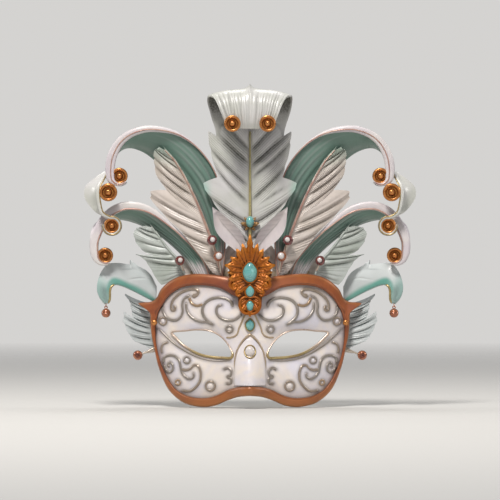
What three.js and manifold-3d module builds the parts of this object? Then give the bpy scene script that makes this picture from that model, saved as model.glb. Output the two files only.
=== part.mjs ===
// A Venetian masquerade half mask with a headdress of moulded plumes.
//
// The shell covers the brow, eyes and cheeks. A copper band edges it, a brass medallion sits on the
// brow, and a fan of plumes stands behind the brow, held by a folded mounting plate. The side plumes
// arch outwards like a jester's horns and end in rosettes. A bead hangs from each side flap's tip.
//
// Millimetres. +Z is up and the mask looks along -Y. The origin is the bridge of the wearer's nose,
// midway between the eye openings. "left" is the viewer's left, the side of negative x.
import * as THREE from "three";
import { mergeVertices } from "three/addons/utils/BufferGeometryUtils.js";
import Module from "manifold-3d";

const wasm = await Module();
wasm.setup();

// Driving dimensions
const MASK_HALF_WIDTH = 80.6;
const WALL = 2.6; // thickness of the face shell
const GAP = 0.3; // clearance between neighbouring pieces
const SHEET = 2.2; // thickness of a plume
const WRAP_DEPTH = 34; // how far the temples lie behind the brow's middle
const NOSE_RISE = 17; // how far the nose stands out at its tip
const LINING_GAP = 0.7;
const BAND_RISE = 3.2; // the copper band's front above the shell's front
const MEDALLION_BACK = -5.6;
const MEDALLION_THICK = 2.2;
const GUARD_RISE = 1.9; // the nose guard's front above the shell's front
const BEAD_RADIUS = 3.7;
const LOOP_RADIUS = 1.1; // centre line of the two wire loops that link a bead to its flap
const LOOP_WIRE = 0.32;
const TIP_EYE = [-115.8, 16.4, 28.3];

const COLOURS = {
  pearl_white: [0xe9e3dc, 0.35, 0.0],
  teal: [0x5f9183, 0.45, 0.0],
  mint_white: [0xcfdcd4, 0.4, 0.0],
  copper: [0xb5673a, 0.4, 0.6],
  brass: [0xc27a1e, 0.35, 0.9],
  gilt: [0xc9a860, 0.3, 0.9],
  turquoise: [0x55b5b0, 0.15, 0.0],
  pearl: [0xf4e9e0, 0.15, 0.0],
  lining: [0xe0d6c4, 0.95, 0.0],
  board: [0xb9a284, 0.9, 0.0],
};

const headdress = new THREE.Group();

// Geometry helpers ------------------------------------------------------------------------------

const lerp = THREE.MathUtils.lerp;
const smooth = (t) => THREE.MathUtils.smoothstep(t, 0, 1);
const bell = (distance, reach) => Math.exp(-((distance / reach) ** 2));
const vector = ([x, y, z]) => new THREE.Vector3(x, y, z);
const curve = (points, closed = false) =>
  new THREE.CatmullRomCurve3(points.map(vector), closed, "centripetal");

// The solid of a closed geometry, with its shared vertices merged.
function solidOf(geometry) {
  const bare = new THREE.BufferGeometry();
  bare.setAttribute("position", geometry.getAttribute("position"));
  bare.setIndex(geometry.index);
  const merged = mergeVertices(bare, 1e-4);
  return new wasm.Manifold(
    new wasm.Mesh({
      numProp: 3,
      vertProperties: merged.attributes.position.array,
      triVerts: new Uint32Array(merged.index.array),
    }),
  );
}

function geometryOf(solid) {
  const mesh = solid.getMesh();
  return new THREE.BufferGeometry()
    .setAttribute("position", new THREE.BufferAttribute(mesh.vertProperties, 3))
    .setIndex(new THREE.BufferAttribute(mesh.triVerts, 1));
}

// A closed skin over rings of points, each of which runs up the near side and down the far side.
function skin(rings) {
  const n = rings[0].length;
  const last = (rings.length - 1) * n;
  const index = [];
  const quad = (a, b, c, d) => index.push(a, b, c, a, c, d);
  for (let row = 0; row < last; row += n)
    for (let j = 0; j < n; j++) {
      const next = (j + 1) % n;
      quad(row + j, row + next, row + n + next, row + n + j);
    }
  for (let j = 0; j < n / 2 - 1; j++) {
    quad(n - 1 - j, n - 2 - j, j + 1, j);
    quad(last + j, last + j + 1, last + n - 2 - j, last + n - 1 - j);
  }
  const geometry = new THREE.BufferGeometry().setFromPoints(rings.flat()).setIndex(index);
  if (solidOf(geometry).volume() < 0) geometry.setIndex(index.reverse());
  return geometry;
}

// A sheet over a grid: at(u, v) gives its near side and normal(u, v) the way it thickens.
function sheet({ at, normal, thick, us, vs }) {
  const rings = us.map((u) => {
    const near = vs.map((v) => at(u, v));
    const far = vs.map((v, i) => near[i].clone().addScaledVector(normal(u, v), thick));
    return [...near, ...far.reverse()];
  });
  return skin(rings);
}

const steps = (from, to, count) =>
  Array.from({ length: count + 1 }, (_, i) => lerp(from, to, i / count));

// A slab of even thickness behind a surface y = front(x, z), over a grid of xs and zs.
function slab(front, thick, xs, zs) {
  return sheet({
    at: (x, z) => new THREE.Vector3(x, front(x, z), z),
    normal: () => new THREE.Vector3(0, 1, 0),
    thick,
    us: xs,
    vs: zs,
  });
}

// A prism that runs along Y, from an outline in x and z.
function prism(outline, holes = []) {
  const reach = 120;
  const shape = new THREE.Shape(outline);
  shape.holes = holes.map((hole) => new THREE.Path(hole));
  return new THREE.ExtrudeGeometry(shape, { depth: 2 * reach, bevelEnabled: false })
    .rotateX(Math.PI / 2)
    .translate(0, reach, 0);
}

const trimmed = (block, cutter) => geometryOf(solidOf(block).intersect(solidOf(cutter)));

// A smooth outline through [x, z] points.
function outlineOf(points, count) {
  const line = curve(
    points.map(([x, z]) => [x, z, 0]),
    true,
  );
  return line
    .getSpacedPoints(count)
    .slice(0, -1)
    .map((p) => new THREE.Vector2(p.x, p.y));
}

// The closed outline whose left half is given from its top to its bottom, on the middle line.
function mirroredOutline(half, count) {
  const right = half
    .slice(1, -1)
    .reverse()
    .map(([x, z]) => [-x, z]);
  return outlineOf([...half, ...right], count);
}

function rod(points, radius, sides = 8, count = 10) {
  const section = new THREE.Shape(
    steps(0, 2 * Math.PI, sides)
      .slice(0, -1)
      .map((a) => new THREE.Vector2(radius * Math.cos(a), radius * Math.sin(a))),
  );
  return new THREE.ExtrudeGeometry(section, {
    extrudePath: curve(points),
    steps: count,
    bevelEnabled: false,
  });
}

// A turned piece, profile [radius, height] from its back to its front, which looks along -Y.
function turned(profile, segments) {
  return new THREE.LatheGeometry(
    profile.map(([r, h]) => new THREE.Vector2(r, h)),
    segments,
  ).rotateX(Math.PI);
}

function dome(radiusX, radiusZ, height, segments = 14) {
  const profile = [[0, 0], ...steps(0, Math.PI / 2, 4).map((a) => [Math.cos(a), Math.sin(a)])];
  profile[profile.length - 1][0] = 0;
  return turned(profile, segments).scale(radiusX, height, radiusZ);
}

function add(name, geometry, colour, position = [0, 0, 0]) {
  const [hex, roughness, metalness] = COLOURS[colour];
  const material = new THREE.MeshStandardMaterial({ color: hex, roughness, metalness });
  const mesh = new THREE.Mesh(geometry, material);
  mesh.name = name;
  mesh.position.set(...position);
  headdress.add(mesh);
  return mesh;
}

// The left piece and its mirror image on the right.
function addPair(name, geometry, colour, position = [0, 0, 0]) {
  add(`${name}_left`, geometry, colour, position);
  const [x, y, z] = position;
  add(`${name}_right`, geometry, colour, [-x, y, z]).scale.x = -1;
}

// The seat of a flat-backed piece: GAP clear of whatever stands highest under its outline.
function seatOn(front, x, z, radiusX, radiusZ) {
  const rim = steps(0, 2 * Math.PI, 16).map((a) =>
    front(x + radiusX * Math.cos(a), z + radiusZ * Math.sin(a)),
  );
  return Math.min(front(x, z), ...rim) - GAP;
}

// The face --------------------------------------------------------------------------------------

// How far back the shell's front lies: it wraps round the head, leans back above the brow, hollows
// at the eyes and swells over the cheeks and nose.
function faceFront(x, z) {
  const side = Math.abs(x);
  const templeTurn = 78; // the band's temple points stand out flatter than the wrap
  const wrap =
    WRAP_DEPTH * (Math.min(side, templeTurn) / MASK_HALF_WIDTH) ** 2.1 +
    0.3 * Math.max(0, side - templeTurn);
  const lean = 0.0026 * Math.max(0, z - 12) ** 2;
  const nose = NOSE_RISE * smooth((16 - z) / 56) * bell(x, 12.5);
  const cheek = 5 * bell(side - 44, 24) * bell(z + 28, 22);
  const brow = 2.5 * bell(z - 18, 10) * bell(side, 70);
  const socket = 4.5 * bell(side - 39, 22) * bell(z + 1, 10);
  return -WALL + wrap + lean + socket - nose - cheek - brow;
}

// Every piece that follows the face is cut from the same grid, so neighbours stay parallel.
const HALF_COLUMNS = [5, 10, 16, 25, 35, 46, 56, 65, 72, 78, 96];
const FACE_COLUMNS = [...HALF_COLUMNS.map((x) => -x).reverse(), 0, ...HALF_COLUMNS];
const FACE_ROWS = steps(-56, 58, 14);
const faceSlab = (front, thick) => slab(front, thick, FACE_COLUMNS, FACE_ROWS);

const BAND_OUTER = [
  [0, 48], [-16.4, 51.4], [-35.6, 53.8], [-47, 53.7], [-61.2, 50], [-71.6, 41.6], [-77, 32],
  [-83.5, 30.6], [-90.5, 30.2], [-85.5, 26], [-80.2, 22.6], [-80.6, 14], [-79.6, 4.8],
  [-77.6, -5], [-73.5, -22], [-65, -40], [-54, -49.2], [-45, -52], [-36, -52.8], [-27, -51.2],
  [-18, -47.2], [-9, -44.1], [0, -43],
];
const BAND_INNER = [
  [0, 33], [-12, 36], [-25, 42.6], [-45, 44.2], [-59, 41], [-68.4, 32.6], [-73.8, 22.4],
  [-76.6, 11.5], [-76.9, -2.8], [-73, -17], [-68, -29.6], [-59, -40], [-46.8, -45.2],
  [-34, -45.2], [-23.6, -42], [-14.4, -37.2], [0, -35.4],
];
// The shell runs under the band and stops short of its outer edge and of the temple points.
const SHELL_EDGE = [
  [0, 47], [-16.4, 50.2], [-35.6, 52.6], [-47, 52.5], [-60.6, 48.8], [-70.4, 40.6], [-76.2, 31],
  [-79, 22], [-79.4, 14], [-78.4, 4.8], [-76.4, -5], [-72.3, -22], [-64, -39.2], [-53.4, -48],
  [-45, -50.8], [-36, -51.6], [-27, -50], [-18, -46], [-9, -42.9], [0, -41.8],
];
const EYE = [
  [-62.3, 6.2], [-51, 7.7], [-41.9, 8.4], [-32.1, 7.4], [-24, 3.4], [-18.2, -2.8], [-14.6, -10.2],
  [-15.6, -12.6], [-22.5, -12.8], [-30.5, -12.1], [-38.6, -10.4], [-46.8, -7], [-53.6, -2.8],
  [-58.6, 2],
];
const mirrored = (points) => points.map(([x, z]) => [-x, z]);

// An outline grown or shrunk about its own middle, near enough to an even offset for an eye.
function grown(points, by) {
  const centre = new THREE.Vector2();
  points.forEach((p) => centre.addScaledVector(p, 1 / points.length));
  return points.map((p) => {
    const out = p.clone().sub(centre);
    return p.clone().addScaledVector(out.clone().normalize(), by);
  });
}

const guardFront = (x, z) => faceFront(x, z) - GUARD_RISE;

const RIVET = { x: 77.2, z: 14.4, hole: 1.5, shank: 1.1 };

function rivetHoles() {
  const hole = (x) =>
    new THREE.CylinderGeometry(RIVET.hole, RIVET.hole, 160, 10).translate(x, 0, RIVET.z);
  return solidOf(hole(-RIVET.x)).add(solidOf(hole(RIVET.x)));
}

function buildFace() {
  const eyes = [outlineOf(EYE, 32), outlineOf(mirrored(EYE), 32)];
  const holes = rivetHoles();

  const shellBlock = faceSlab(faceFront, WALL);
  const shell = solidOf(shellBlock).intersect(solidOf(prism(mirroredOutline(SHELL_EDGE, 64), eyes)));
  add("face_shell", geometryOf(shell.subtract(holes)), "pearl_white");

  const bandFront = (x, z) => faceFront(x, z) - BAND_RISE;
  const bandBlock = faceSlab(bandFront, BAND_RISE - GAP);
  const ring = prism(mirroredOutline(BAND_OUTER, 84), [mirroredOutline(BAND_INNER, 60)]);
  const band = solidOf(bandBlock).intersect(solidOf(ring));
  add("edge_band", geometryOf(band.subtract(holes)), "copper");

  const liningFront = (x, z) => faceFront(x, z) + WALL + LINING_GAP;
  const liningEdge = grown(mirroredOutline(SHELL_EDGE, 48), -7);
  const liningEyes = eyes.map((eye) => grown(eye, 2.2));
  const lining = trimmed(faceSlab(liningFront, 1), prism(liningEdge, liningEyes));
  add("face_lining", lining, "lining");

  // The trim rests on the shell along the eye opening's edge.
  const trimRadius = 0.95;
  const trimLine = grown(outlineOf(EYE, 36), 0.9).map((p) => [
    p.x,
    faceFront(p.x, p.y) - trimRadius - 0.6,
    p.y,
  ]);
  const trim = new THREE.TubeGeometry(curve(trimLine, true), 36, trimRadius, 6, true);
  addPair("eye_trim", trim, "gilt");

  // The nose guard is a pointed arch that stops above the band.
  const archPoints = [
    [0, 4.2], [-4.6, 0.2], [-9.6, -7], [-12.2, -17], [-13, -28], [-12.6, -35.6], [-6, -34.9], [0, -34.8],
  ];
  const arch = mirroredOutline(archPoints, 36);
  const guard = faceSlab(guardFront, GUARD_RISE - 2 * GAP);
  add("nose_guard", trimmed(guard, prism(arch)), "pearl_white");
}

// A rivet through each temple clamps the end tab of the tie ribbon against the washer.
function buildRibbonRivets() {
  const x = -RIVET.x;
  const front = faceFront(x, RIVET.z) - BAND_RISE;
  const back = faceFront(x, RIVET.z) + WALL;
  const slope = 5.2; // the temple is steep, so the head and washer stand clear of it
  const headBack = front - slope * 0.45;
  const washerFront = back + slope * 0.45;
  const length = washerFront - headBack;
  const profile = [
    [0, 0], [2.4, 0], [2.4, 1], [RIVET.shank, 1], [RIVET.shank, 1 + length], [1.7, 1 + length],
    [1.7, 1.8 + length], [0.9, 2.7 + length], [0, 3 + length],
  ];
  addPair("ribbon_rivet", turned(profile, 12), "copper", [x, washerFront + 1, RIVET.z]);
}

// Brow ornament -----------------------------------------------------------------------------------

const MEDALLION_EDGE = [
  [0, 79.6], [-2.6, 72.5], [-6.4, 71], [-9.6, 69.2], [-10.2, 66.2], [-15.6, 64.8], [-20, 61.2],
  [-16.6, 57.2], [-18.6, 52.6], [-15.4, 49.4], [-16.6, 44.8], [-12.8, 41.4], [-10.4, 36.4],
  [-9.4, 30.4], [-8, 24.6], [-4.2, 21.8], [0, 21],
];
const GEMS = {
  medallion_gem: { x: 5.6, z: 7.6, height: 4.2, at: 56 },
  brow_gem_upper: { x: 3.3, z: 3.5, height: 2.6, at: 40 },
  brow_gem_lower: { x: 3.1, z: 3.8, height: 2.6, at: 29.2 },
};

function buildMedallion() {
  const shape = new THREE.Shape(mirroredOutline(MEDALLION_EDGE, 96));
  const plate = new THREE.ExtrudeGeometry(shape, { depth: MEDALLION_THICK, bevelEnabled: false })
    .rotateX(Math.PI / 2)
    .translate(0, MEDALLION_BACK, 0);
  add("brow_medallion", plate, "brass");
  const seat = MEDALLION_BACK - MEDALLION_THICK - GAP;
  for (const [name, gem] of Object.entries(GEMS))
    add(name, dome(gem.x, gem.z, gem.height), "turquoise", [0, seat, gem.at]);
  const dropSeat = seatOn(faceFront, 0, 13, 3.4, 4.8) - 0.3;
  add("drop_gem", dome(3.4, 4.8, 2.6), "turquoise", [0, dropSeat, 13]);
  const pearlSeat = seatOn(guardFront, 0, -8.4, 4.2, 4.2) - 0.3;
  add("nose_pearl", dome(4.2, 4.2, 3.4), "pearl", [0, pearlSeat, -8.4]);
}

// Plumes ------------------------------------------------------------------------------------------

// How far back the headdress lies as it wraps round the head.
const crownWrap = (x) => 34 * (1 - bell(x, 62));

// A barbed feather in its natural lie. Barbs leave the quill at an angle and bend towards its tip.
// vane rows are [share of the quill, barb length, angle from the quill in degrees]; a sudden step in
// length is a split in the vane. lean is how fast the vane falls back from the quill.
function feather({ quill, left, right, lean, bend = 14, across = 3 }) {
  const line = curve(quill);
  const value = (vane, u, column) => {
    const next = Math.max(1, vane.findIndex((row) => row[0] >= u));
    const [a, b] = [vane[next - 1], vane[next]];
    return lerp(a[column], b[column], (u - a[0]) / (b[0] - a[0]));
  };
  const at = (u, v) => {
    const root = line.getPointAt(u);
    const along = line.getTangentAt(u);
    const vane = v < 0 ? left : right;
    const length = value(vane, u, 1) * Math.abs(v);
    const turn = value(vane, u, 2) - bend * Math.abs(v) * 0.5;
    const heading = Math.atan2(along.z, along.x) + Math.sign(-v) * THREE.MathUtils.degToRad(turn);
    return new THREE.Vector3(
      root.x + length * Math.cos(heading),
      root.y + lean * length,
      root.z + length * Math.sin(heading),
    );
  };
  const us = new Set([...left, ...right].map((row) => row[0]));
  const sorted = [...us].sort((a, b) => a - b);
  const normal = () => new THREE.Vector3(0, 1, 0);
  return sheet({ at, normal, thick: SHEET, us: sorted, vs: steps(-1, 1, across * 2) });
}

// A curved strip between two rails, bowed across its width. A positive thickness lies on the side
// away from the bow. Past the share `flatFrom` of its length it is no longer bowed.
function strip({ front, back, bow, along = 34, across = 3, thick = SHEET, flatFrom = 2 }) {
  const [a, b] = [curve(front), curve(back)];
  const flat = (u, v) => a.getPoint(u).lerp(b.getPoint(u), v);
  const normal = (u, v) => {
    const h = 0.01;
    const way = flat(Math.min(1, u + h), v).sub(flat(Math.max(0, u - h), v));
    const width = b.getPoint(u).sub(a.getPoint(u));
    return way.cross(width).normalize();
  };
  const rise = (u, v) => bow * 4 * v * (1 - v) * (1 - smooth((u - flatFrom + 0.1) / 0.1));
  const at = (u, v) => flat(u, v).addScaledVector(normal(u, v), rise(u, v));
  const backwards = (u, v) => normal(u, v).negate();
  return sheet({ at, normal: backwards, thick, us: steps(0, 1, along), vs: steps(0, 1, across) });
}

function centrePlume() {
  const vane = [
    [0, 5, 70], [0.1, 8, 62], [0.18, 13, 58], [0.246, 23, 58], [0.31, 37, 60], [0.385, 45.5, 63],
    [0.415, 45, 62], [0.43, 39, 49], [0.55, 43.6, 52], [0.65, 44.4, 55], [0.725, 45, 55],
    [0.745, 35.6, 55], [0.82, 32, 51], [0.9, 20, 46], [1, 6, 40],
  ];
  const body = feather({
    quill: [[0, 5, 50], [0, 5.4, 90], [0, 6, 130], [0, 6.4, 172]],
    left: vane,
    right: vane,
    lean: 0.02,
  });
  // The tip: [y, z, half width] along the fold, which rolls forwards and down.
  const fold = [
    [8.6, 126, 18], [9, 150, 26], [9, 168, 27.6], [8, 180, 31.2], [5, 190, 33.6], [-0.5, 196.6, 34],
    [-7, 199.4, 32.6], [-13.2, 197.4, 29.8], [-17.4, 191.4, 26.8], [-19.4, 183, 23.6],
    [-18.6, 176, 20.4], [-16, 171, 17.6],
  ];
  const spine = curve(fold.map(([y, z]) => [0, y, z]));
  const widths = curve(fold.map((row) => [0, 0, row[2]]));
  const crest = 3.8; // the quill stands up as a point at the top of the roll
  const normal = (u) => {
    const t = spine.getTangent(u);
    return new THREE.Vector3(0, t.z, -t.y);
  };
  const at = (u, v) => {
    const p = spine.getPoint(u);
    const rise = crest * bell(v, 0.15) * bell(u - 0.55, 0.09);
    return p.addScaledVector(normal(u), rise).setX(v * widths.getPoint(u).z);
  };
  const tip = sheet({ at, normal, thick: SHEET, us: steps(0, 1, 22), vs: steps(-1, 1, 8) });
  return geometryOf(solidOf(body).add(solidOf(tip)));
}

// Each curled strip ends in a coil round its rosette: rails go round a centre, from one angle in
// degrees to another, at a distance that leaves room for the rosette.
function coil([x, z], radius, [from, to], depths, count = 6) {
  return depths.map(([near, far]) =>
    steps(from, to, count).map((degrees, i) => {
      const a = THREE.MathUtils.degToRad(degrees);
      return [x + radius * Math.cos(a), lerp(near, far, i / count), z + radius * Math.sin(a)];
    }),
  );
}

const ROSETTES = {
  plume_tip: { radius: 6.4, at: [-14, -21.8, 173.4] },
  upper: { radius: 6.4, at: [-104.8, 13.4, 132.4] },
  middle: { radius: 7, at: [-113.7, 11.2, 119.3] },
  scroll: { radius: 6.2, at: [-110.8, 9.4, 92.4] },
  lower: { radius: 6.2, at: [-116.4, 18, 68.6] },
};
const COIL_GAP = 0.4;

function coilRound(name, angles, depths, count) {
  const { radius, at } = ROSETTES[name];
  return coil([at[0], at[2]], radius + COIL_GAP, angles, depths, count);
}

function curled(rails, [front, back]) {
  return { front: [...rails.front, ...front], back: [...rails.back, ...back] };
}

const UPPER_PLUME = {
  front: [
    [-22, 10.9, 50], [-20, 11.4, 82], [-22.4, 11.6, 112], [-27.6, 12, 134], [-36, 12.4, 148.4],
    [-47.6, 12.6, 160.4], [-59.6, 12, 167.8], [-72.6, 11, 171.4], [-86, 10.6, 171.4],
    [-98, 10.6, 166.6], [-106.2, 10.6, 158.6], [-111, 10.6, 148], [-112.2, 10.6, 139],
  ],
  back: [
    [-27, 13.2, 50], [-32.6, 17, 80], [-41, 19.5, 99], [-50.6, 20.6, 114], [-61.6, 23, 128.6],
    [-72.6, 25, 140.8], [-82.6, 26.6, 149.6], [-91.4, 27.6, 154], [-98.6, 28, 155],
    [-104.6, 28, 152.4], [-109, 26.6, 146.6], [-111.4, 24.6, 141.6], [-112.4, 22.6, 136.6],
  ],
};
// The white lobe springs from behind the upper plume's end and rolls up round its own rosette.
const UPPER_CURL = {
  front: [
    [-115.6, 20, 135.6], [-118.6, 14, 129.4], [-121.4, 11, 124], [-122, 9.6, 118],
    [-121, 8.2, 110.6], [-118.4, 6.8, 102.6],
  ],
  back: [
    [-117.2, 27, 136.6], [-125.4, 25, 131], [-132.8, 24, 123.8], [-133.4, 22, 116],
    [-128.6, 19, 107.8], [-121.4, 16, 101.6],
  ],
};
const LOWER_PLUME = {
  front: [
    [-31, 15.6, 49], [-37, 16.6, 64.4], [-46.6, 17.4, 76.8], [-54.8, 18.4, 85], [-63, 19, 92.8],
    [-72.2, 19.6, 101], [-81, 20, 106.8], [-91.6, 20, 110], [-103.4, 20, 109.4],
    [-111.4, 19.6, 105], [-117, 18.8, 98], [-121, 17.6, 88], [-123.4, 16.4, 78],
  ],
  back: [
    [-42, 21, 48], [-52.6, 26, 65.4], [-64.6, 30, 77.4], [-75, 33, 85.4], [-84.6, 35, 91],
    [-92.6, 36, 94.4], [-100.4, 36.4, 96.6], [-107.4, 36, 97.4], [-114.4, 35, 97.4],
    [-120.4, 34, 96.4], [-125.4, 32, 91.6], [-127.6, 30, 84], [-127, 27, 75],
  ],
};
const SIDE_FLAP = {
  front: [
    [-75.4, 35.6, 43.6], [-80.6, 36, 53.4], [-88.6, 34.6, 59.2], [-98, 31.6, 61.4], [-107, 28, 62.6],
    [-114.6, 24.6, 61.6], [-119.4, 22, 56.2], [-122.4, 20, 48.4], [-123, 18.4, 41],
    [-120.6, 17, 34.4], [-116.6, 16.2, 30],
  ],
  back: [
    [-76, 34.6, 30.4], [-83, 33, 34.2], [-90, 30, 38.2], [-96.6, 27, 41.6], [-102.6, 24, 44.2],
    [-107.6, 22, 45.2], [-110.8, 20.6, 43.6], [-112, 19.4, 40], [-112, 18.4, 36.6],
    [-112.2, 17.6, 33], [-113.4, 17, 30],
  ],
};

// One broad gilt line runs down the centre plume from its fold to the medallion.
function centreQuill() {
  return rod([[0, 3.6, 80], [0, 3.9, 100], [0, 4.4, 130], [0, 4.8, 160]], 0.9, 8, 8);
}

function buildPlumes() {
  add("centre_plume", centrePlume(), "pearl_white");
  add("centre_quill", centreQuill(), "gilt");

  const upperRails = curled(UPPER_PLUME, coilRound("upper", [190, 320], [[10.4, 10], [19, 16]]));
  addPair("upper_plume", strip({ ...upperRails, bow: 1.8, along: 44, thick: 1.5, flatFrom: 0.63 }), "teal");
  const curlRails = curled(UPPER_CURL, coilRound("scroll", [100, -190], [[6.4, 6], [14, 12]], 10));
  addPair("upper_curl", strip({ ...curlRails, bow: 1, along: 34, thick: -1.5, flatFrom: 0.3 }), "pearl_white");
  const lowerRails = curled(LOWER_PLUME, coilRound("lower", [180, 300], [[15.4, 15], [23, 20]]));
  addPair("lower_plume", strip({ ...lowerRails, bow: 1.8, along: 38, thick: 1.5, flatFrom: 0.63 }), "teal");
  addPair("side_flap", strip({ ...SIDE_FLAP, bow: 1.6, along: 20 }), "mint_white");

  const narrow = [[0, 3, 30], [1, 3, 30]];
  const upper = feather({
    quill: [
      [-22, 7, 52], [-26, 7.2, 65], [-30, 7.4, 78.4], [-35.6, 7.4, 93.6], [-42, 8, 109.6],
      [-50.4, 9.2, 127.4], [-60.6, 11.2, 144.6], [-68.6, 13.8, 153.6],
    ],
    left: [
      [0, 8, 63], [0.12, 16, 62], [0.24, 31, 55], [0.3, 44, 51], [0.36, 53, 48], [0.4, 51, 46],
      [0.42, 39, 37], [0.5, 43, 38], [0.6, 41, 35], [0.7, 36, 31], [0.8, 28, 29], [0.9, 17, 28],
      [1, 5, 28],
    ],
    right: narrow,
    lean: 0.27,
  });
  addPair("upper_feather", upper, "pearl_white");

  const lower = feather({
    quill: [
      [-52.4, 20, 53], [-57.2, 20, 64], [-63, 20.6, 70.6], [-68.8, 21.4, 77.6], [-74.2, 22.4, 85],
      [-79.6, 23.8, 91.4],
    ],
    left: [
      [0, 20.9, 97], [0.08, 25.6, 75], [0.18, 30.4, 65], [0.28, 35.3, 53], [0.33, 33, 49],
      [0.36, 17.5, 50], [0.42, 25.6, 48], [0.52, 28.4, 43], [0.62, 27.4, 38], [0.8, 19, 38],
      [0.92, 11, 38], [1, 4, 38],
    ],
    right: [[0, 2.4, 30], [1, 2.4, 30]],
    lean: 0.2,
  });
  addPair("lower_feather", lower, "mint_white");

  const fan = feather({
    quill: [[-75, 34.6, -8], [-78.6, 35.8, 4], [-79, 37.4, 16], [-76.6, 40, 29]],
    left: [
      [0, 7, 68], [0.13, 17.2, 74], [0.26, 21.6, 73], [0.39, 25.6, 75], [0.52, 26, 73],
      [0.55, 16, 86], [0.6, 15.6, 90], [0.71, 19, 89], [0.81, 20.4, 91], [0.95, 26, 93],
      [1, 26, 93],
    ],
    right: [[0, 1, 30], [1, 1, 30]],
    lean: -0.16,
    bend: 24,
  });
  addPair("ear_fan", fan, "mint_white");

  const leaf = strip({
    front: [[-6.4, 2.6, 67], [-13, 2, 73.4], [-22.4, 1, 81.6], [-28, 0, 90], [-30.2, -2, 107]],
    back: [[-2.2, 2.4, 68.4], [-4, 2, 80], [-8.4, 1, 89], [-18, 0, 98.4], [-29.4, -2, 107.2]],
    bow: 0.8,
    along: 10,
    thick: 1.8,
  });
  addPair("brow_leaf", leaf, "pearl_white");
}

// Behind the brow ---------------------------------------------------------------------------------

// The mounting plate is folded twice on each side, so its middle panel is flat.
const PLATE_FOLDS = [16, 37];
const PLATE_THICK = 2;

function plateFront(x) {
  const [inner, outer] = PLATE_FOLDS;
  const side = Math.abs(x);
  return 8.6 + 0.74 * Math.max(0, Math.min(side, outer) - inner) + 0.4 * Math.max(0, side - outer);
}

function buildMounting() {
  const plate = slab(plateFront, PLATE_THICK, [-48, -37, -16, 16, 37, 48], [38, 56]);
  add("mounting_plate", plate, "board");

  // Short feathers are glued to the back of each wing, beside the free middle of the plate.
  const fanEdge = [
    [-18.8, 45], [-18.8, 53], [-16.6, 58.6], [-11, 60.6], [-9.6, 67], [-10.4, 74], [-13.4, 76.8],
    [-17.6, 76.2], [-22.4, 69], [-31, 72], [-39, 71], [-44.4, 64.4], [-53, 66.4], [-60.6, 61],
    [-61.6, 52], [-48, 46], [-28, 45],
  ];
  const fanFront = (x) => plateFront(x) + PLATE_THICK + GAP;
  const fanBlock = slab(fanFront, 1.6, [-64, -37, -16, -8], [40, 80]);
  addPair("brow_fan", trimmed(fanBlock, prism(outlineOf(fanEdge, 44))), "mint_white");

  // The brow pad fills the space between the shell and the mounting plate, below the plumes.
  const pad = sheet({
    at: (x, z) => new THREE.Vector3(x, faceFront(x, z) + WALL + LINING_GAP + 1.6, z),
    normal: () => new THREE.Vector3(0, 1, 0),
    thick: 7,
    us: steps(-34, 34, 8),
    vs: steps(24, 36, 2),
  });
  add("brow_pad", pad, "lining");
}

// Rosettes, pins and beads ------------------------------------------------------------------------

// A stamped rosette: a dished cup with a rolled rim and a bead at its centre.
function rosette(radius) {
  const r = radius;
  return turned(
    [
      [0, 0], [0.7 * r, 0], [r, 1.4], [r, 3], [0.84 * r, 4], [0.64 * r, 2.8], [0.46 * r, 2.2],
      [0.42 * r, 3.6], [0.26 * r, 4.9], [0, 5.3],
    ],
    14,
  );
}

function buildRosettes() {
  for (const [name, { radius, at }] of Object.entries(ROSETTES))
    addPair(`${name}_rosette`, rosette(radius), "copper", at);
}

// A pearl pin: a wire stem that ends in a copper cup with a pearl.
function pin(stem, radius) {
  const ball = new THREE.SphereGeometry(radius, 10, 7).translate(...stem[stem.length - 1]);
  return geometryOf(solidOf(rod(stem, 0.8, 6, 4)).add(solidOf(ball)));
}

function buildPins() {
  addPair("inner_pin", pin([[-23.4, 5.8, 55], [-24, 3.4, 62], [-25.3, -1, 67.8]], 4.2), "copper");
  addPair("quill_pin", pin([[-28.6, 6, 72.4], [-29.4, 4.4, 76], [-30.4, 0, 80.8]], 4.4), "copper");
  addPair("outer_pin", pin([[-53.4, 18.8, 56.4], [-55, 16.8, 60], [-56.4, 14.4, 64.4]], 4.2), "copper");
  addPair(
    "cheek_pin",
    pin([[-77.2, 32.4, -6], [-81.6, 31.6, -8.4], [-86, 31, -10.4], [-90.6, 30.4, -12]], 4.1),
    "copper",
  );
  add("plume_gem", new THREE.SphereGeometry(3.7, 12, 9), "turquoise", [0, -1, 95.4]);
}

// A wire eye behind the flap's tip, and a bead whose own loop is linked through it.
function buildTipBeads() {
  const [x, y, z] = TIP_EYE;
  const wire = () => new THREE.TorusGeometry(LOOP_RADIUS, LOOP_WIRE, 6, 12);
  const ring = wire().rotateY(Math.PI / 2);
  const stem = rod([[0, 0.2, LOOP_RADIUS - 0.1], [0, 2.6, 1], [0, 4.2, 2.4], [0, 4.6, 6]], LOOP_WIRE, 6, 6);
  addPair("tip_eye", geometryOf(solidOf(ring).add(solidOf(stem))), "copper", TIP_EYE);

  const link = 2 * (LOOP_RADIUS - LOOP_WIRE) - 0.1; // from one loop's centre to the next
  const ballDrop = LOOP_RADIUS + BEAD_RADIUS - 0.2;
  const ball = new THREE.SphereGeometry(BEAD_RADIUS, 12, 8).translate(0, 0, -ballDrop);
  const bead = geometryOf(solidOf(wire().rotateX(Math.PI / 2)).add(solidOf(ball)));
  addPair("tip_bead", bead, "copper", [x, y, z - link]);
}

buildFace();
buildRibbonRivets();
buildMedallion();
buildPlumes();
buildMounting();
buildRosettes();
buildPins();
buildTipBeads();

export default headdress;
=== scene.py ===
# A Venetian masquerade half mask with moulded plumes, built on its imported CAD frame.
#
# Each piece below is worked out in millimetres, in the frame's own axes, as whole numpy grids, and
# becomes a mesh in metres in `make`. "left" is the side of negative x.
import math

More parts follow.
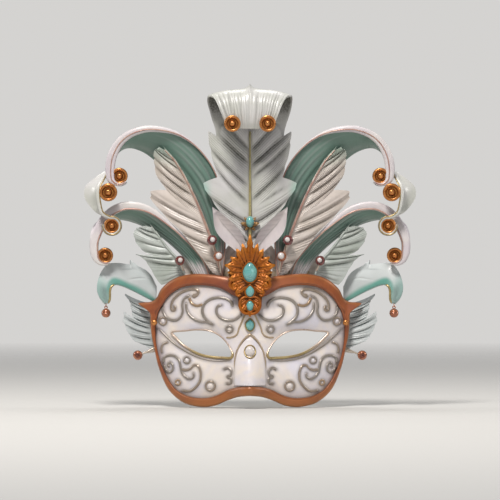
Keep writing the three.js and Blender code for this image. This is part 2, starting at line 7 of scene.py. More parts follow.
import bmesh
import bpy
import numpy as np
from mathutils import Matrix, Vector


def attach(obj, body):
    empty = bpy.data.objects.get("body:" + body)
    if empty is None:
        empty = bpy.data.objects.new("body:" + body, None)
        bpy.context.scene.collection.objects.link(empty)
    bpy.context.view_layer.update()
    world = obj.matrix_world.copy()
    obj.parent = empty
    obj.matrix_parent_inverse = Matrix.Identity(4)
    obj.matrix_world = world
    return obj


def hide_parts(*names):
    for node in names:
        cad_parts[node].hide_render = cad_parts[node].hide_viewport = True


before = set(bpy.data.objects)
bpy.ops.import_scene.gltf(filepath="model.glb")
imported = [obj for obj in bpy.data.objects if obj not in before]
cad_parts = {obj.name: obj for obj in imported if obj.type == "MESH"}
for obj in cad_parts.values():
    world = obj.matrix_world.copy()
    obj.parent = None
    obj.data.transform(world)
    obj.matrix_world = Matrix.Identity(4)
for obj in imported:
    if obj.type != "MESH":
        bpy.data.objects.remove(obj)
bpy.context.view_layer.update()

# Shared measures, the same as the part's own
MASK_HALF_WIDTH = 80.6
WALL = 2.6  # thickness of the face plate
SHEET = 2.2  # thickness of a plume
WRAP_DEPTH = 34  # how far the temples lie behind the brow's middle
NOSE_RISE = 17  # how far the nose stands out at its tip
BAND_RISE = 3.2  # the copper band's front above the plate's front
GUARD_RISE = 1.9  # the nose guard's front above the plate's front
RIVET = (-77.2, 14.4)
TIP_EYE = np.array([-115.8, 16.4, 28.3])
BEAD_RADIUS = 3.7
LOOP_RADIUS = 1.1  # the two wire loops that link a bead to its flap

LOOP_WIRE = 0.34  # radius of the loops' wire, a little over the part's own 0.32
FRONT = np.array([0.0, -1.0, 0.0])
LEFT, RIGHT = "left", "right"


# Numbers and curves ------------------------------------------------------------------------------


def smooth(t):
    """Goes from 0 to 1 as t does, with level ends: 3t^2 - 2t^3."""
    t = np.clip(t, 0, 1)
    return t * t * (3 - 2 * t)


def bell(distance, reach):
    """A bump of height 1 that falls to 1/e at the reach."""
    return np.exp(-((distance / reach) ** 2))


def unit(vectors):
    """Each vector at length 1."""
    return vectors / np.maximum(np.linalg.norm(vectors, axis=-1, keepdims=True), 1e-9)


def noise(shape, seed, coarse):
    """Smooth noise from -1 to 1: random values on a coarse grid, blended between by smooth steps."""
    dice = np.random.default_rng(seed).uniform(-1, 1, (coarse[0] + 2, coarse[1] + 2))
    u = np.linspace(0, coarse[0], shape[0])[:, None]
    v = np.linspace(0, coarse[1], shape[1])[None, :]
    i, j = np.floor(u).astype(int), np.floor(v).astype(int)
    a, b = smooth(u - i), smooth(v - j)
    low = dice[i, j] * (1 - b) + dice[i, j + 1] * b
    high = dice[i + 1, j] * (1 - b) + dice[i + 1, j + 1] * b
    return low * (1 - a) + high * a


def spline(points, count, closed=False):
    """A smooth curve through points of any dimension, resampled evenly by its length.

    Knots are spaced by the root of each chord, the slope at a knot blends its two chords, and each
    span is a Hermite cubic.
    """
    p = np.asarray(points, float)
    n = len(p)
    if closed:
        p = np.vstack([p[-3:], p, p[:4]])
    t = np.concatenate([[0], np.cumsum(np.sqrt(np.linalg.norm(np.diff(p, axis=0), axis=1)))])
    slope = np.gradient(p, t, axis=0)
    start, end = (t[3], t[3 + n]) if closed else (t[0], t[-1])
    dense = np.linspace(start, end, 30 * len(p))
    i = np.clip(np.searchsorted(t, dense, side="right") - 1, 0, len(p) - 2)
    step = (t[i + 1] - t[i])[:, None]
    s = (dense - t[i])[:, None] / step
    line = (
        (2 * s**3 - 3 * s**2 + 1) * p[i]
        + (s**3 - 2 * s**2 + s) * step * slope[i]
        + (3 * s**2 - 2 * s**3) * p[i + 1]
        + (s**3 - s**2) * step * slope[i + 1]
    )
    run = np.concatenate([[0], np.cumsum(np.linalg.norm(np.diff(line, axis=0), axis=1))])
    even = np.linspace(0, run[-1], count + 1)[:-1] if closed else np.linspace(0, run[-1], count)
    return np.stack([np.interp(even, run, line[:, k]) for k in range(line.shape[1])], axis=1)


def along_rows(rows, u, column):
    """Reads a table whose first column is the share of a length, between its rows."""
    rows = np.asarray(rows, float)
    return np.interp(u, rows[:, 0], rows[:, column])


# Surfaces ----------------------------------------------------------------------------------------


def patch(points, around=False, **fields):
    """A surface over a grid of points (rows, columns, 3). `around` joins its last column to its
    first. Fields hold one number for each point."""
    return {"points": points, "around": around, "fields": fields}


def mirrored(surface):
    """The same surface on the other side of the mask, x turned to -x."""
    return {**surface, "points": surface["points"] * np.array([-1.0, 1.0, 1.0])}


def zipped(front, back, **fields):
    """Closes two facing sheets into one skin: each row runs over the front and comes home along the
    back, and both end rows close on the line halfway between the sheets. Each field is a pair of
    values, for the front and for the back."""
    ring = np.concatenate([front, back[:, ::-1]], axis=1)
    half = (front + back) / 2
    seam = np.concatenate([half, half[:, ::-1]], axis=1)
    points = np.concatenate([seam[:1], ring, seam[-1:]])
    joined = {}
    for key, pair in fields.items():
        ahead, behind = (np.broadcast_to(values, front.shape[:2]) for values in pair)
        row = np.concatenate([ahead, behind[:, ::-1]], axis=1)
        joined[key] = np.concatenate([row[:1], row, row[-1:]])
    return patch(points, around=True, **joined)


def sweep(path, radius, up=FRONT, flat=1.0, corners=14, **fields):
    """A closed tube: at each point of the path an ellipse, `radius` wide and `flat` as high, stands
    square to the path with its height towards `up`. Both ends shrink to a point."""
    path = np.asarray(path, float)
    tangent = unit(np.gradient(path, axis=0))
    side = unit(np.cross(tangent, np.broadcast_to(up, path.shape)))
    height = np.cross(side, tangent)
    turn = np.linspace(0, 2 * np.pi, corners, endpoint=False)[None, :, None]
    reach = np.broadcast_to(np.asarray(radius, float), len(path))[:, None, None]
    ring = path[:, None] + reach * (
        side[:, None] * np.cos(turn) + flat * height[:, None] * np.sin(turn)
    )
    first = np.repeat(path[:1, None], corners, axis=1)
    last = np.repeat(path[-1:, None], corners, axis=1)
    points = np.concatenate([first, ring, last])
    spread = {k: np.full(points.shape[:2], float(v)) for k, v in fields.items()}
    return patch(points, around=True, **spread)


def blunt(count, ends=0.08):
    """Radius shares that round off both ends of a tube like quarter circles."""
    s = np.linspace(0, 1, count)
    near = np.clip(np.minimum(s, 1 - s) / ends, 0, 1)
    return np.sqrt(np.maximum(1 - (1 - near) ** 2, 0.02))


def turned(centre, profile, around=48, count=60, axis=FRONT, fields=None):
    """A turned piece: a smooth profile of (radius, height) rows is spun about an axis through the
    centre. Fields are tables of (share of the profile, value)."""
    line = spline(profile, count)
    axis = unit(np.asarray(axis, float))
    side = unit(np.cross(axis, [0.0, 0.0, 1.0] if abs(axis[2]) < 0.9 else [1.0, 0.0, 0.0]))
    other = np.cross(side, axis)
    turn = np.linspace(0, 2 * np.pi, around, endpoint=False)[None, :, None]
    radius = np.maximum(line[:, 0], 0)[:, None, None]
    points = (
        np.asarray(centre, float)
        + axis * line[:, 1][:, None, None]
        + radius * (side * np.cos(turn) + other * np.sin(turn))
    )
    share = np.linspace(0, 1, count)
    spread = {
        k: np.repeat(along_rows(rows, share, 1)[:, None], around, axis=1)
        for k, rows in (fields or {}).items()
    }
    return patch(points, around=True, **spread)


def make(name, surfaces, finish, slot, *nodes, body="mask", crease=50):
    """Joins surfaces into one mesh in metres, merges their shared edges, turns every face outwards
    and hands the piece to the frame."""
    points, faces, start = [], [], 0
    keys = sorted({key for s in surfaces for key in s["fields"]} | {"recess", "tint"})
    fields = {key: [] for key in keys}
    for s in surfaces:
        rows, columns = s["points"].shape[:2]
        index = start + np.arange(rows * columns).reshape(rows, columns)
        near = index if s["around"] else index[:, :-1]
        far = np.roll(index, -1, axis=1) if s["around"] else index[:, 1:]
        faces.append(np.stack([near[:-1], far[:-1], far[1:], near[1:]], axis=-1).reshape(-1, 4))
        points.append(s["points"].reshape(-1, 3))
        for key in keys:
            values = s["fields"].get(key, np.zeros((rows, columns)))
            fields[key].append(np.broadcast_to(values, (rows, columns)).ravel())
        start += rows * columns
    points, faces = np.concatenate(points) / 1000, np.concatenate(faces)

    mesh = bpy.data.meshes.new(name)
    mesh.vertices.add(len(points))
    mesh.vertices.foreach_set("co", points.astype(np.float32).ravel())
    mesh.loops.add(faces.size)
    mesh.loops.foreach_set("vertex_index", faces.astype(np.int32).ravel())
    mesh.polygons.add(len(faces))
    mesh.polygons.foreach_set("loop_start", np.arange(0, faces.size, 4, dtype=np.int32))
    mesh.update(calc_edges=True)
    for key in keys:
        layer = mesh.attributes.new(key, "FLOAT", "POINT")
        layer.data.foreach_set("value", np.concatenate(fields[key]).astype(np.float32))

    work = bmesh.new()
    work.from_mesh(mesh)
    bmesh.ops.remove_doubles(work, verts=work.verts, dist=2e-6)
    bmesh.ops.dissolve_degenerate(work, edges=work.edges, dist=1e-7)
    bmesh.ops.recalc_face_normals(work, faces=work.faces)
    work.to_mesh(mesh)
    work.free()
    mesh.polygons.foreach_set("use_smooth", np.ones(len(mesh.polygons), dtype=bool))
    mesh.set_sharp_from_angle(angle=math.radians(crease))
    mesh.materials.append(finish)
    piece = bpy.data.objects.new(name, mesh)
    bpy.context.scene.collection.objects.link(piece)
    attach(piece, body)
    if nodes:
        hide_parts(*nodes)
    return piece


def make_pair(name, surfaces, finish, slot, *nodes, crease=50):
    """The left piece and its mirror image. Node names lack their _left or _right ending."""
    for side in (LEFT, RIGHT):
        shapes = surfaces if side == LEFT else [mirrored(s) for s in surfaces]
        ends = [f"{node}_{side}" for node in nodes]
        make(f"{name}_{side}", shapes, finish, slot, *ends, crease=crease)


# Finishes ----------------------------------------------------------------------------------------


def new_socket(group, name, kind, way="INPUT", value=None):
    """A named socket on a node group's outside."""
    socket = group.interface.new_socket(name=name, in_out=way, socket_type=f"NodeSocket{kind}")
    if value is not None:
        socket.default_value = value
    return socket


def mix_colours(tree, share, first, second, blend="MIX"):
    """A colour mix node. Each of its three inputs is a socket to link or a plain value."""
    node = tree.nodes.new("ShaderNodeMix")
    node.data_type, node.blend_type = "RGBA", blend
    for slot, value in ((0, share), (6, first), (7, second)):
        if isinstance(value, bpy.types.NodeSocket):
            tree.links.new(value, node.inputs[slot])
        else:
            node.inputs[slot].default_value = value
    return node.outputs[2]


def number(tree, operation, *values, clamp=False):
    """A maths node. Each input is a socket to link or a plain value."""
    node = tree.nodes.new("ShaderNodeMath")
    node.operation, node.use_clamp = operation, clamp
    for slot, value in enumerate(values):
        if isinstance(value, bpy.types.NodeSocket):
            tree.links.new(value, node.inputs[slot])
        else:
            node.inputs[slot].default_value = value
    return node.outputs[0]


def cloud(tree, coordinates, scale, detail, roughness=0.55, distortion=0.0):
    """Soft 3-D noise from 0 to 1."""
    node = tree.nodes.new("ShaderNodeTexNoise")
    tree.links.new(coordinates, node.inputs["Vector"])
    if isinstance(scale, bpy.types.NodeSocket):
        tree.links.new(scale, node.inputs["Scale"])
    else:
        node.inputs["Scale"].default_value = scale
    node.inputs["Detail"].default_value = detail
    node.inputs["Roughness"].default_value = roughness
    node.inputs["Distortion"].default_value = distortion
    return node.outputs["Fac"]


def spread(tree, value, low, high, to_low=0.0, to_high=1.0):
    """Maps the values from low to high onto to_low to to_high."""
    node = tree.nodes.new("ShaderNodeMapRange")
    tree.links.new(value, node.inputs["Value"])
    for slot, entry in (("From Min", low), ("From Max", high), ("To Min", to_low), ("To Max", to_high)):
        if isinstance(entry, bpy.types.NodeSocket):
            tree.links.new(entry, node.inputs[slot])
        else:
            node.inputs[slot].default_value = entry
    return node.outputs["Result"]


def aged_and_shaded_group():
    """Hand-painted ageing and painted shade, shared by every painted and metal finish.

    Two paint tones drift over the surface, and a stain covers it where Tint asks; on the band it is
    partly a painted highlight. Where the mesh's shade field asks, a deep colour is painted in as
    shade, broken up by fine grain: painted shade in hollows, creases and under parts.
    """
    group = bpy.data.node_groups.new("hand_aged_and_shaded_finish", "ShaderNodeTree")
    for name in ("Tone", "Second Tone", "Shade Colour", "Stain And Highlight"):
        new_socket(group, name, "Color", value=(0.5, 0.5, 0.5, 1))
    for name, value in (("Shade Amount", 0), ("Tint", 0), ("Drift Scale", 30), ("Grain Scale", 900),
                        ("Roughness", 0.4), ("Wear", 0.1)):
        new_socket(group, name, "Float", value=value)
    new_socket(group, "Color", "Color", "OUTPUT")
    new_socket(group, "Roughness", "Float", "OUTPUT")
    new_socket(group, "Height", "Float", "OUTPUT")
    given = group.nodes.new("NodeGroupInput").outputs
    result = group.nodes.new("NodeGroupOutput").inputs
    place = group.nodes.new("ShaderNodeTexCoord").outputs["Object"]
    drift = spread(group, cloud(group, place, given["Drift Scale"], 3, 0.6, 0.6), 0.34, 0.66)
    grain = cloud(group, place, given["Grain Scale"], 4, 0.65)
    tones = mix_colours(group, drift, given["Tone"], given["Second Tone"])
    tinted = mix_colours(group, given["Tint"], tones, given["Stain And Highlight"])
    broken = spread(group, grain, 0.3, 0.7, 0.7, 1.25)
    hollow = number(group, "MULTIPLY", given["Shade Amount"], broken, clamp=True)
    shaded = mix_colours(group, hollow, tinted, given["Shade Colour"])
    group.links.new(shaded, result["Color"])
    worn = number(group, "MULTIPLY", number(group, "SUBTRACT", grain, 0.5), given["Wear"])
    dull = number(group, "ADD", number(group, "ADD", given["Roughness"], worn),
                  number(group, "MULTIPLY", hollow, 0.18), clamp=True)
    group.links.new(dull, result["Roughness"])
    height = number(group, "ADD", grain, number(group, "MULTIPLY", drift, 0.6))
    group.links.new(height, result["Height"])
    return group


AGED_AND_SHADED = aged_and_shaded_group()


def attribute(tree, name):
    """Reads one of the mesh's own fields."""
    node = tree.nodes.new("ShaderNodeAttribute")
    node.attribute_name = name
    return node.outputs["Fac"]


def aged_and_shaded(name, tone, second, shade_paint, stain=(0, 0, 0), roughness=0.4, wear=0.25, drift=30, grain=900,
         relief=0.06, **constants):
    """A material with the shared ageing and painted shade. Keywords that are left are the shader's own
    constants.
    """
    material = bpy.data.materials.new(name)
    material.use_nodes = True
    tree = material.node_tree
    shader = tree.nodes["Principled BSDF"]
    node = tree.nodes.new("ShaderNodeGroup")
    node.node_tree = AGED_AND_SHADED
    for socket, colour in (("Tone", tone), ("Second Tone", second), ("Shade Colour", shade_paint), ("Stain And Highlight", stain)):
        node.inputs[socket].default_value = (*colour, 1)
    for socket, value in (("Drift Scale", drift), ("Grain Scale", grain), ("Roughness", roughness),
                          ("Wear", wear)):
        node.inputs[socket].default_value = value
    tree.links.new(attribute(tree, "recess"), node.inputs["Shade Amount"])
    tree.links.new(attribute(tree, "tint"), node.inputs["Tint"])
    tree.links.new(node.outputs["Color"], shader.inputs["Base Color"])
    tree.links.new(node.outputs["Roughness"], shader.inputs["Roughness"])
    bump = tree.nodes.new("ShaderNodeBump")
    bump.inputs["Strength"].default_value = 0.5
    bump.inputs["Distance"].default_value = relief / 1000
    tree.links.new(node.outputs["Height"], bump.inputs["Height"])
    tree.links.new(bump.outputs["Normal"], shader.inputs["Normal"])
    for key, value in constants.items():
        shader.inputs[key.replace("_", " ").title().replace("Ior", "IOR")].default_value = value
    return material


PLATE_LACQUER = aged_and_shaded("plate_lacquer", (0.88, 0.79, 0.71), (0.74, 0.71, 0.78), (0.09, 0.065, 0.055),
                     stain=(0.44, 0.32, 0.26), roughness=0.24, drift=44, relief=0.16,
                     coat_weight=0.6, coat_roughness=0.1)
PLUME_LACQUER = aged_and_shaded("plume_lacquer", (0.65, 0.635, 0.635), (0.55, 0.555, 0.51), (0.06, 0.06, 0.045),
                     stain=(0.30, 0.54, 0.46), roughness=0.36, drift=30, relief=0.12,
                     coat_weight=0.3, coat_roughness=0.22)
CREAM_LACQUER = aged_and_shaded("cream_lacquer", (0.72, 0.64, 0.59), (0.58, 0.51, 0.445), (0.10, 0.07, 0.045),
                     stain=(0.24, 0.37, 0.31), roughness=0.36, drift=30, relief=0.12,
                     coat_weight=0.3, coat_roughness=0.22)
LEAF_LACQUER = aged_and_shaded("leaf_lacquer", (0.70, 0.63, 0.62), (0.60, 0.55, 0.57), (0.10, 0.085, 0.07),
                    roughness=0.32, drift=40, relief=0.12, coat_weight=0.35, coat_roughness=0.2)
TEAL_LACQUER = aged_and_shaded("teal_lacquer", (0.72, 0.68, 0.66), (0.62, 0.56, 0.60), (0.03, 0.055, 0.045),
                    stain=(0.15, 0.25, 0.205), roughness=0.42, drift=28, relief=0.1,
                    coat_weight=0.2, coat_roughness=0.25)
MINT_LACQUER = aged_and_shaded("mint_lacquer", (0.55, 0.585, 0.565), (0.41, 0.45, 0.405), (0.05, 0.065, 0.045),
                    stain=(0.13, 0.36, 0.28), roughness=0.38, drift=30, relief=0.12,
                    coat_weight=0.25, coat_roughness=0.22)
FLAP_LACQUER = aged_and_shaded("flap_lacquer", (0.62, 0.655, 0.66), (0.50, 0.54, 0.54), (0.06, 0.08, 0.08),
                    stain=(0.14, 0.37, 0.31), roughness=0.34, drift=26, relief=0.1,
                    coat_weight=0.3, coat_roughness=0.2)
# Its stain is a lighter orange: the copper's own colour on the band's lower part, and a painted
# highlight in a stripe along its outer slope.
BAND_COPPER = aged_and_shaded("band_copper", (0.46, 0.135, 0.038), (0.27, 0.075, 0.038), (0.06, 0.02, 0.01),
                   stain=(0.42, 0.19, 0.06), roughness=0.42, drift=34, metallic=0.25,
                   coat_weight=0.2, coat_roughness=0.3)
MEDALLION_BRASS = aged_and_shaded("medallion_brass", (0.50, 0.145, 0.009), (0.33, 0.085, 0.008),
                       (0.04, 0.012, 0.003), stain=(0.66, 0.24, 0.03), roughness=0.4, drift=120,
                       metallic=0.45)
STAMPED_COPPER = aged_and_shaded("stamped_copper", (0.70, 0.30, 0.09), (0.54, 0.21, 0.06), (0.11, 0.025, 0.01),
                      stain=(0.70, 0.38, 0.10), roughness=0.28, drift=150, metallic=0.7)
BEAD_COPPER = aged_and_shaded("bead_copper", (0.52, 0.20, 0.09), (0.40, 0.13, 0.07), (0.10, 0.025, 0.02),
                   stain=(0.58, 0.50, 0.42), roughness=0.24, drift=200, metallic=0.5,
                   coat_weight=0.5, coat_roughness=0.1)
ROSE_GLASS = aged_and_shaded("rose_glass", (0.26, 0.055, 0.045), (0.17, 0.04, 0.045), (0.05, 0.012, 0.012),
                  stain=(0.60, 0.52, 0.43), roughness=0.16, drift=200, metallic=0.3,
                  coat_weight=1.0, coat_roughness=0.06)
GILT = aged_and_shaded("gilt", (0.46, 0.36, 0.17), (0.38, 0.27, 0.13), (0.10, 0.07, 0.04),
            stain=(0.60, 0.48, 0.40), roughness=0.3, drift=90, metallic=0.5)
BRONZE = aged_and_shaded("bronze", (0.34, 0.19, 0.075), (0.25, 0.13, 0.05), (0.06, 0.03, 0.015),
              stain=(0.44, 0.27, 0.11), roughness=0.36, drift=120, metallic=0.5)
QUILL_GILT = aged_and_shaded("quill_gilt", (0.50, 0.45, 0.22), (0.44, 0.35, 0.17), (0.10, 0.08, 0.04),
                  stain=(0.55, 0.30, 0.16), roughness=0.3, drift=90, metallic=0.4)
ROSE_GILT = aged_and_shaded("rose_gilt", (0.58, 0.40, 0.32), (0.42, 0.22, 0.19), (0.12, 0.07, 0.05),
                 stain=(0.6, 0.55, 0.48), roughness=0.34, drift=80, metallic=0.3)
ANTIQUE_SILVER = aged_and_shaded("antique_silver", (0.34, 0.30, 0.27), (0.30, 0.26, 0.22), (0.07, 0.055, 0.045),
                      stain=(0.40, 0.28, 0.18), roughness=0.3, drift=110, metallic=0.35,
                      coat_weight=0.4, coat_roughness=0.15)
PEARL = aged_and_shaded("pearl", (0.78, 0.69, 0.64), (0.70, 0.67, 0.68), (0.3, 0.2, 0.15), roughness=0.12,
             wear=0.05, drift=200, relief=0.01, coat_weight=1.0, coat_roughness=0.05)


def stone_finish():
    """Turquoise: two blues drift through each other, with a thin brown web between Voronoi cells."""
    material = aged_and_shaded("turquoise", (0.13, 0.40, 0.42), (0.20, 0.50, 0.46), (0.10, 0.14, 0.09),
                    roughness=0.16, wear=0.1, drift=170, relief=0.01, coat_weight=1.0,
                    coat_roughness=0.04)
    tree = material.node_tree
    shader = tree.nodes["Principled BSDF"]
    painted = shader.inputs["Base Color"].links[0].from_socket
    place = tree.nodes.new("ShaderNodeTexCoord").outputs["Object"]
    cells = tree.nodes.new("ShaderNodeTexVoronoi")
    cells.feature = "DISTANCE_TO_EDGE"
    cells.inputs["Scale"].default_value = 260
    tree.links.new(place, cells.inputs["Vector"])
    web = spread(tree, cells.outputs["Distance"], 0.0, 0.05, 0.45, 0.0)
    mixed = mix_colours(tree, web, painted, (0.10, 0.13, 0.08, 1))
    tree.links.new(mixed, shader.inputs["Base Color"])
    return material


def felt_finish(name, colour):
    """Pressed felt: fine tangled fibres in the colour and the relief."""
    return aged_and_shaded(name, colour, tuple(0.85 * c for c in colour), tuple(0.4 * c for c in colour),
                roughness=0.95, wear=0.1, drift=60, grain=2600, relief=0.4, sheen_weight=0.3)


TURQUOISE = stone_finish()
FELT = felt_finish("lining_felt", (0.62, 0.55, 0.43))
BOARD = felt_finish("backing_board", (0.45, 0.36, 0.25))


# The face ----------------------------------------------------------------------------------------


def face_front(x, z):
    """How far back the plate's front lies: a wrap round the head, a lean above the brow, hollows at
    the eyes, and bumps at the brow, cheeks and nose."""
    side = np.abs(x)
    wrap = WRAP_DEPTH * (np.minimum(side, 78) / MASK_HALF_WIDTH) ** 2.1
    wrap = wrap + 0.3 * np.maximum(0, side - 78)
    lean = 0.0026 * np.maximum(0, z - 12) ** 2
    nose = NOSE_RISE * smooth((16 - z) / 56) * bell(x, 12.5)
    cheek = 5 * bell(side - 44, 24) * bell(z + 28, 22)
    brow = 2.5 * bell(z - 18, 10) * bell(side, 70)
    socket = 4.5 * bell(side - 39, 22) * bell(z + 1, 10)
    return -WALL + wrap + lean + socket - nose - cheek - brow


def on_face(xz, rise=0.0):
    """Lifts [x, z] points onto the plate's front, `rise` in front of it."""
    x, z = xz[..., 0], xz[..., 1]
    return np.stack([x, face_front(x, z) - rise, z], axis=-1)


def face_normal(xz):
    """The way the plate's front faces, from its slopes in x and z."""
    h = 0.4
    x, z = xz[..., 0], xz[..., 1]
    slope_x = (face_front(x + h, z) - face_front(x - h, z)) / (2 * h)
    slope_z = (face_front(x, z + h) - face_front(x, z - h)) / (2 * h)
    return unit(np.stack([slope_x, -np.ones_like(x), slope_z], axis=-1))


# Outlines of the left half, [x, z]: the plate's from the brow's middle to the nose, and the eye's
SHELL_EDGE = [
    (0, 47), (-16.4, 50.2), (-35.6, 52.6), (-47, 52.5), (-60.6, 48.8), (-70.4, 40.6), (-76.2, 31),
    (-79, 22), (-79.4, 14), (-78.4, 4.8), (-76.4, -5), (-72.3, -22), (-64, -39.2), (-53.4, -48),
    (-45, -50.8), (-36, -51.6), (-27, -50), (-18, -46), (-9, -42.9), (0, -41.8),
]
EYE = [
    (-62.3, 6.2), (-51, 7.7), (-41.9, 8.4), (-32.1, 7.4), (-24, 3.4), (-18.2, -2.8), (-14.6, -10.2),
    (-15.6, -12.6), (-22.5, -12.8), (-30.5, -12.1), (-38.6, -10.4), (-46.8, -7), (-53.6, -2.8),
    (-58.6, 2),
]
# The copper band's two edges, as outer [x, z] and inner [x, z] from the brow's middle to the nose
BAND = [
    (0, 48, 0, 33), (-16.4, 51.4, -12, 36), (-30, 53.3, -25, 42.6), (-47, 53.7, -45, 44.6),
    (-61.2, 50, -57.5, 41.6), (-71.6, 41.6, -66.5, 34.4), (-76, 33.8, -70.4, 28.6),
    (-80.4, 31.2, -71.8, 26.4), (-86, 30.8, -73, 24), (-90.3, 29.8, -73.8, 22), (-85.5, 26, -74.5, 19.5),
    (-81.2, 22.4, -75, 17.5), (-80.4, 14, -75.9, 13), (-79.6, 4.8, -76, 3.4),
    (-77.6, -5, -74.9, -5.8), (-73.5, -22, -70.4, -21.2), (-65, -40, -60.6, -37.6),
    (-54, -49.2, -51.5, -43.4), (-45, -52, -44.4, -45.2), (-36, -52.8, -35.6, -45.4),
    (-27, -51.2, -27, -43.4), (-18, -47.2, -17.2, -38.6), (-9, -44.1, -9, -36.2), (0, -43, 0, -35.4),
]


# Raised lines of the left cheek and brow: [x, z] points, widest radius, and how much each end swells
SCROLLS = [
    ([(-46.4, 35.9), (-42.9, 36.9), (-41.4, 39.0), (-43.1, 41.2), (-46.8, 41.6), (-50.9, 40.6),
      (-55.4, 38.6), (-59.4, 35.5), (-62.3, 31.6), (-63.3, 27.5), (-62.7, 24.7), (-60.6, 24.6),
      (-60.1, 26.7), (-61.6, 27.9)], 0.85, 0.9),
    ([(-48.8, 36.5), (-52.7, 33.8), (-54.3, 29.1), (-53.9, 23.8), (-55.4, 19.7), (-59.0, 16.8),
      (-63.9, 16.9), (-67.8, 19.2), (-70.0, 23.4), (-70.3, 27.1)], 0.75, 0.2),
    ([(-51.3, 30.4), (-50.9, 25.5), (-48.4, 20.6), (-44.3, 17.3), (-39.4, 15.6), (-34.5, 15.3),
      (-30.5, 13.6)], 0.75, 0.2),
    ([(-48.8, 34.6), (-46.9, 30.4), (-42.9, 28.3), (-37.9, 29.2)], 0.8, 0.6),
    ([(-14.0, 27.7), (-14.9, 31.0), (-18.2, 33.5), (-23.1, 34.8), (-28.8, 34.4), (-33.7, 32.4),
      (-37.0, 28.7), (-38.1, 24.6), (-37.0, 19.9), (-33.9, 16.2), (-29.3, 13.0)], 0.85, 0.3),
    ([(-22.6, 28.9), (-25.8, 27.7), (-26.9, 24.6), (-26.0, 21.2), (-23.1, 18.4), (-19.0, 16.8),
      (-14.1, 16.9), (-10.1, 18.6), (-6.9, 21.8)], 0.8, 0.2),
    ([(-66.2, -1.1), (-70.0, -3.1), (-71.3, -6.8), (-70.8, -9.8)], 0.6, 0.4),
    ([(-69.5, -17.8), (-69.2, -13.9), (-65.6, -11.8), (-60.7, -12.3), (-57.2, -15.4),
      (-55.9, -19.4), (-54.9, -24.3), (-52.5, -28.2), (-48.4, -30.3), (-45.2, -28.4),
      (-45.3, -25.4)], 0.75, 0.3),
    ([(-68.9, -19.6), (-67.4, -23.7), (-64.6, -25.3), (-62.1, -23.3), (-62.1, -19.6),
      (-64.3, -17.4), (-66.0, -19.3), (-64.6, -21.2)], 0.7, 0.5),
    ([(-55.1, -22.7), (-50.9, -23.2), (-47.6, -22.0), (-44.8, -19.4), (-41.9, -19.8),
      (-39.6, -24.3), (-39.8, -30.9), (-43.1, -36.4), (-48.4, -40.0), (-54.7, -39.6)], 0.75, 0.3),
    ([(-20.9, -22.4), (-17.6, -21.3), (-14.8, -23.8), (-15.5, -27.0), (-18.0, -28.2),
      (-15.0, -30.0), (-15.2, -33.0), (-18.8, -33.9)], 0.8, 0.3),
    ([(-73.4, 9.6), (-68.0, 4.0), (-61.5, -1.9), (-53.3, -7.4), (-45.2, -11.5), (-35.4, -14.6),
      (-25.6, -15.7), (-15.4, -15.2)], 0.5, 0.0),
]
# Small rings, [x, z] and radius
RINGS = [(-70.0, 15.7, 2.9), (-16.4, 9.7, 2.6), (-50.5, -15.4, 2.5), (-31.7, -35.8, 3.7),
         (-57.8, -33.3, 1.9)]


def ring_line(x, z, radius):
    """A closed circle of [x, z] points."""
    turn = np.linspace(0, 2 * np.pi, 60) + 0.6
    return np.stack([x + radius * np.cos(turn), z + radius * np.sin(turn)], axis=-1)


def scroll_lines():
    """Every raised line of the left half as dense [x, z] points with its radius and swelling."""
    lines = []
    for points, radius, swell in SCROLLS:
        lines.append((spline(points, 12 * len(points)), 1.38 * radius, swell))
    for x, z, radius in RINGS:
        lines.append((ring_line(x, z, radius), 0.8, 0.2))
    return lines


def near_lines(xz, lines, reach):
    """How close [x, z] points lie to the raised lines: a bell of the distance to the nearest raised
    line, measured in blocks."""
    marks = np.concatenate([line[::2] for line, _, _ in lines])
    flat = xz.reshape(-1, 2)
    nearest = np.concatenate([
        np.sqrt(((block[:, None] - marks[None]) ** 2).sum(-1).min(axis=1))
        for block in np.array_split(flat, max(1, len(flat) // 2000))
    ])
    return bell(nearest, reach).reshape(xz.shape[:-1])


def face_plate():
    """The plate, with each half a fan of rays from a point in its eye: a ray runs from the eye's
    outline to the shell's, and the front and back sheets lie WALL apart."""
    centre = np.array([-38.0, -1.0])
    arc = spline(SHELL_EDGE, 320)
    middle = np.stack([np.zeros(61), np.linspace(-41.8, 47, 61)], axis=-1)[1:-1]
    rim = np.concatenate([arc, middle])
    angle = np.unwrap(np.arctan2(rim[:, 1] - centre[1], rim[:, 0] - centre[0]))
    eye = spline(EYE, 600, closed=True)
    eye_angle = np.arctan2(eye[:, 1] - centre[1], eye[:, 0] - centre[0])
    order = np.argsort(eye_angle)
    eye_reach = np.hypot(*(eye - centre).T)[order]
    reach = np.interp(angle, eye_angle[order], eye_reach, period=2 * np.pi)
    inner = centre + reach[:, None] * np.stack([np.cos(angle), np.sin(angle)], axis=-1)
    share = np.linspace(0, 1, 73)[:, None, None]
    xz = inner * (1 - share) + rim * share
    # Painted shade round the raised lines, in the band's shadow and along the eye's edge.
    shade_paint = 0.7 * near_lines(xz, scroll_lines(), 1.75)
    lid = bell(np.hypot(*(xz - inner).transpose(2, 0, 1)), 2.2)
    band_edge = spline(np.array(BAND)[:, 2:], 400)
    band_shade = near_lines(xz, [(band_edge, 0, 0)], 1.6)
    shade_paint = np.clip(shade_paint + 0.45 * band_shade + 0.25 * lid, 0, 0.85)
    # A warmer, browner tone within a few millimetres of the band.
    tint = 0.35 * np.clip(near_lines(xz, [(band_edge, 0, 0)], 6), 0, 1)
    front = on_face(xz, 0.25 * near_lines(xz, scroll_lines(), 3.2))
    back = on_face(xz[::4], -WALL)
    edge = [np.stack([front[-1, : len(arc)], back[-1, : len(arc)]]),
            np.stack([front[0], back[0]])]
    half = [
        patch(front, around=True, recess=shade_paint, tint=tint),
        patch(back, around=True),
        patch(edge[0]),
        # The eye's cut edge is painted in shade.
        patch(edge[1], around=True, recess=np.full(edge[1].shape[:2], 0.4)),
    ]
    return half + [mirrored(s) for s in half]


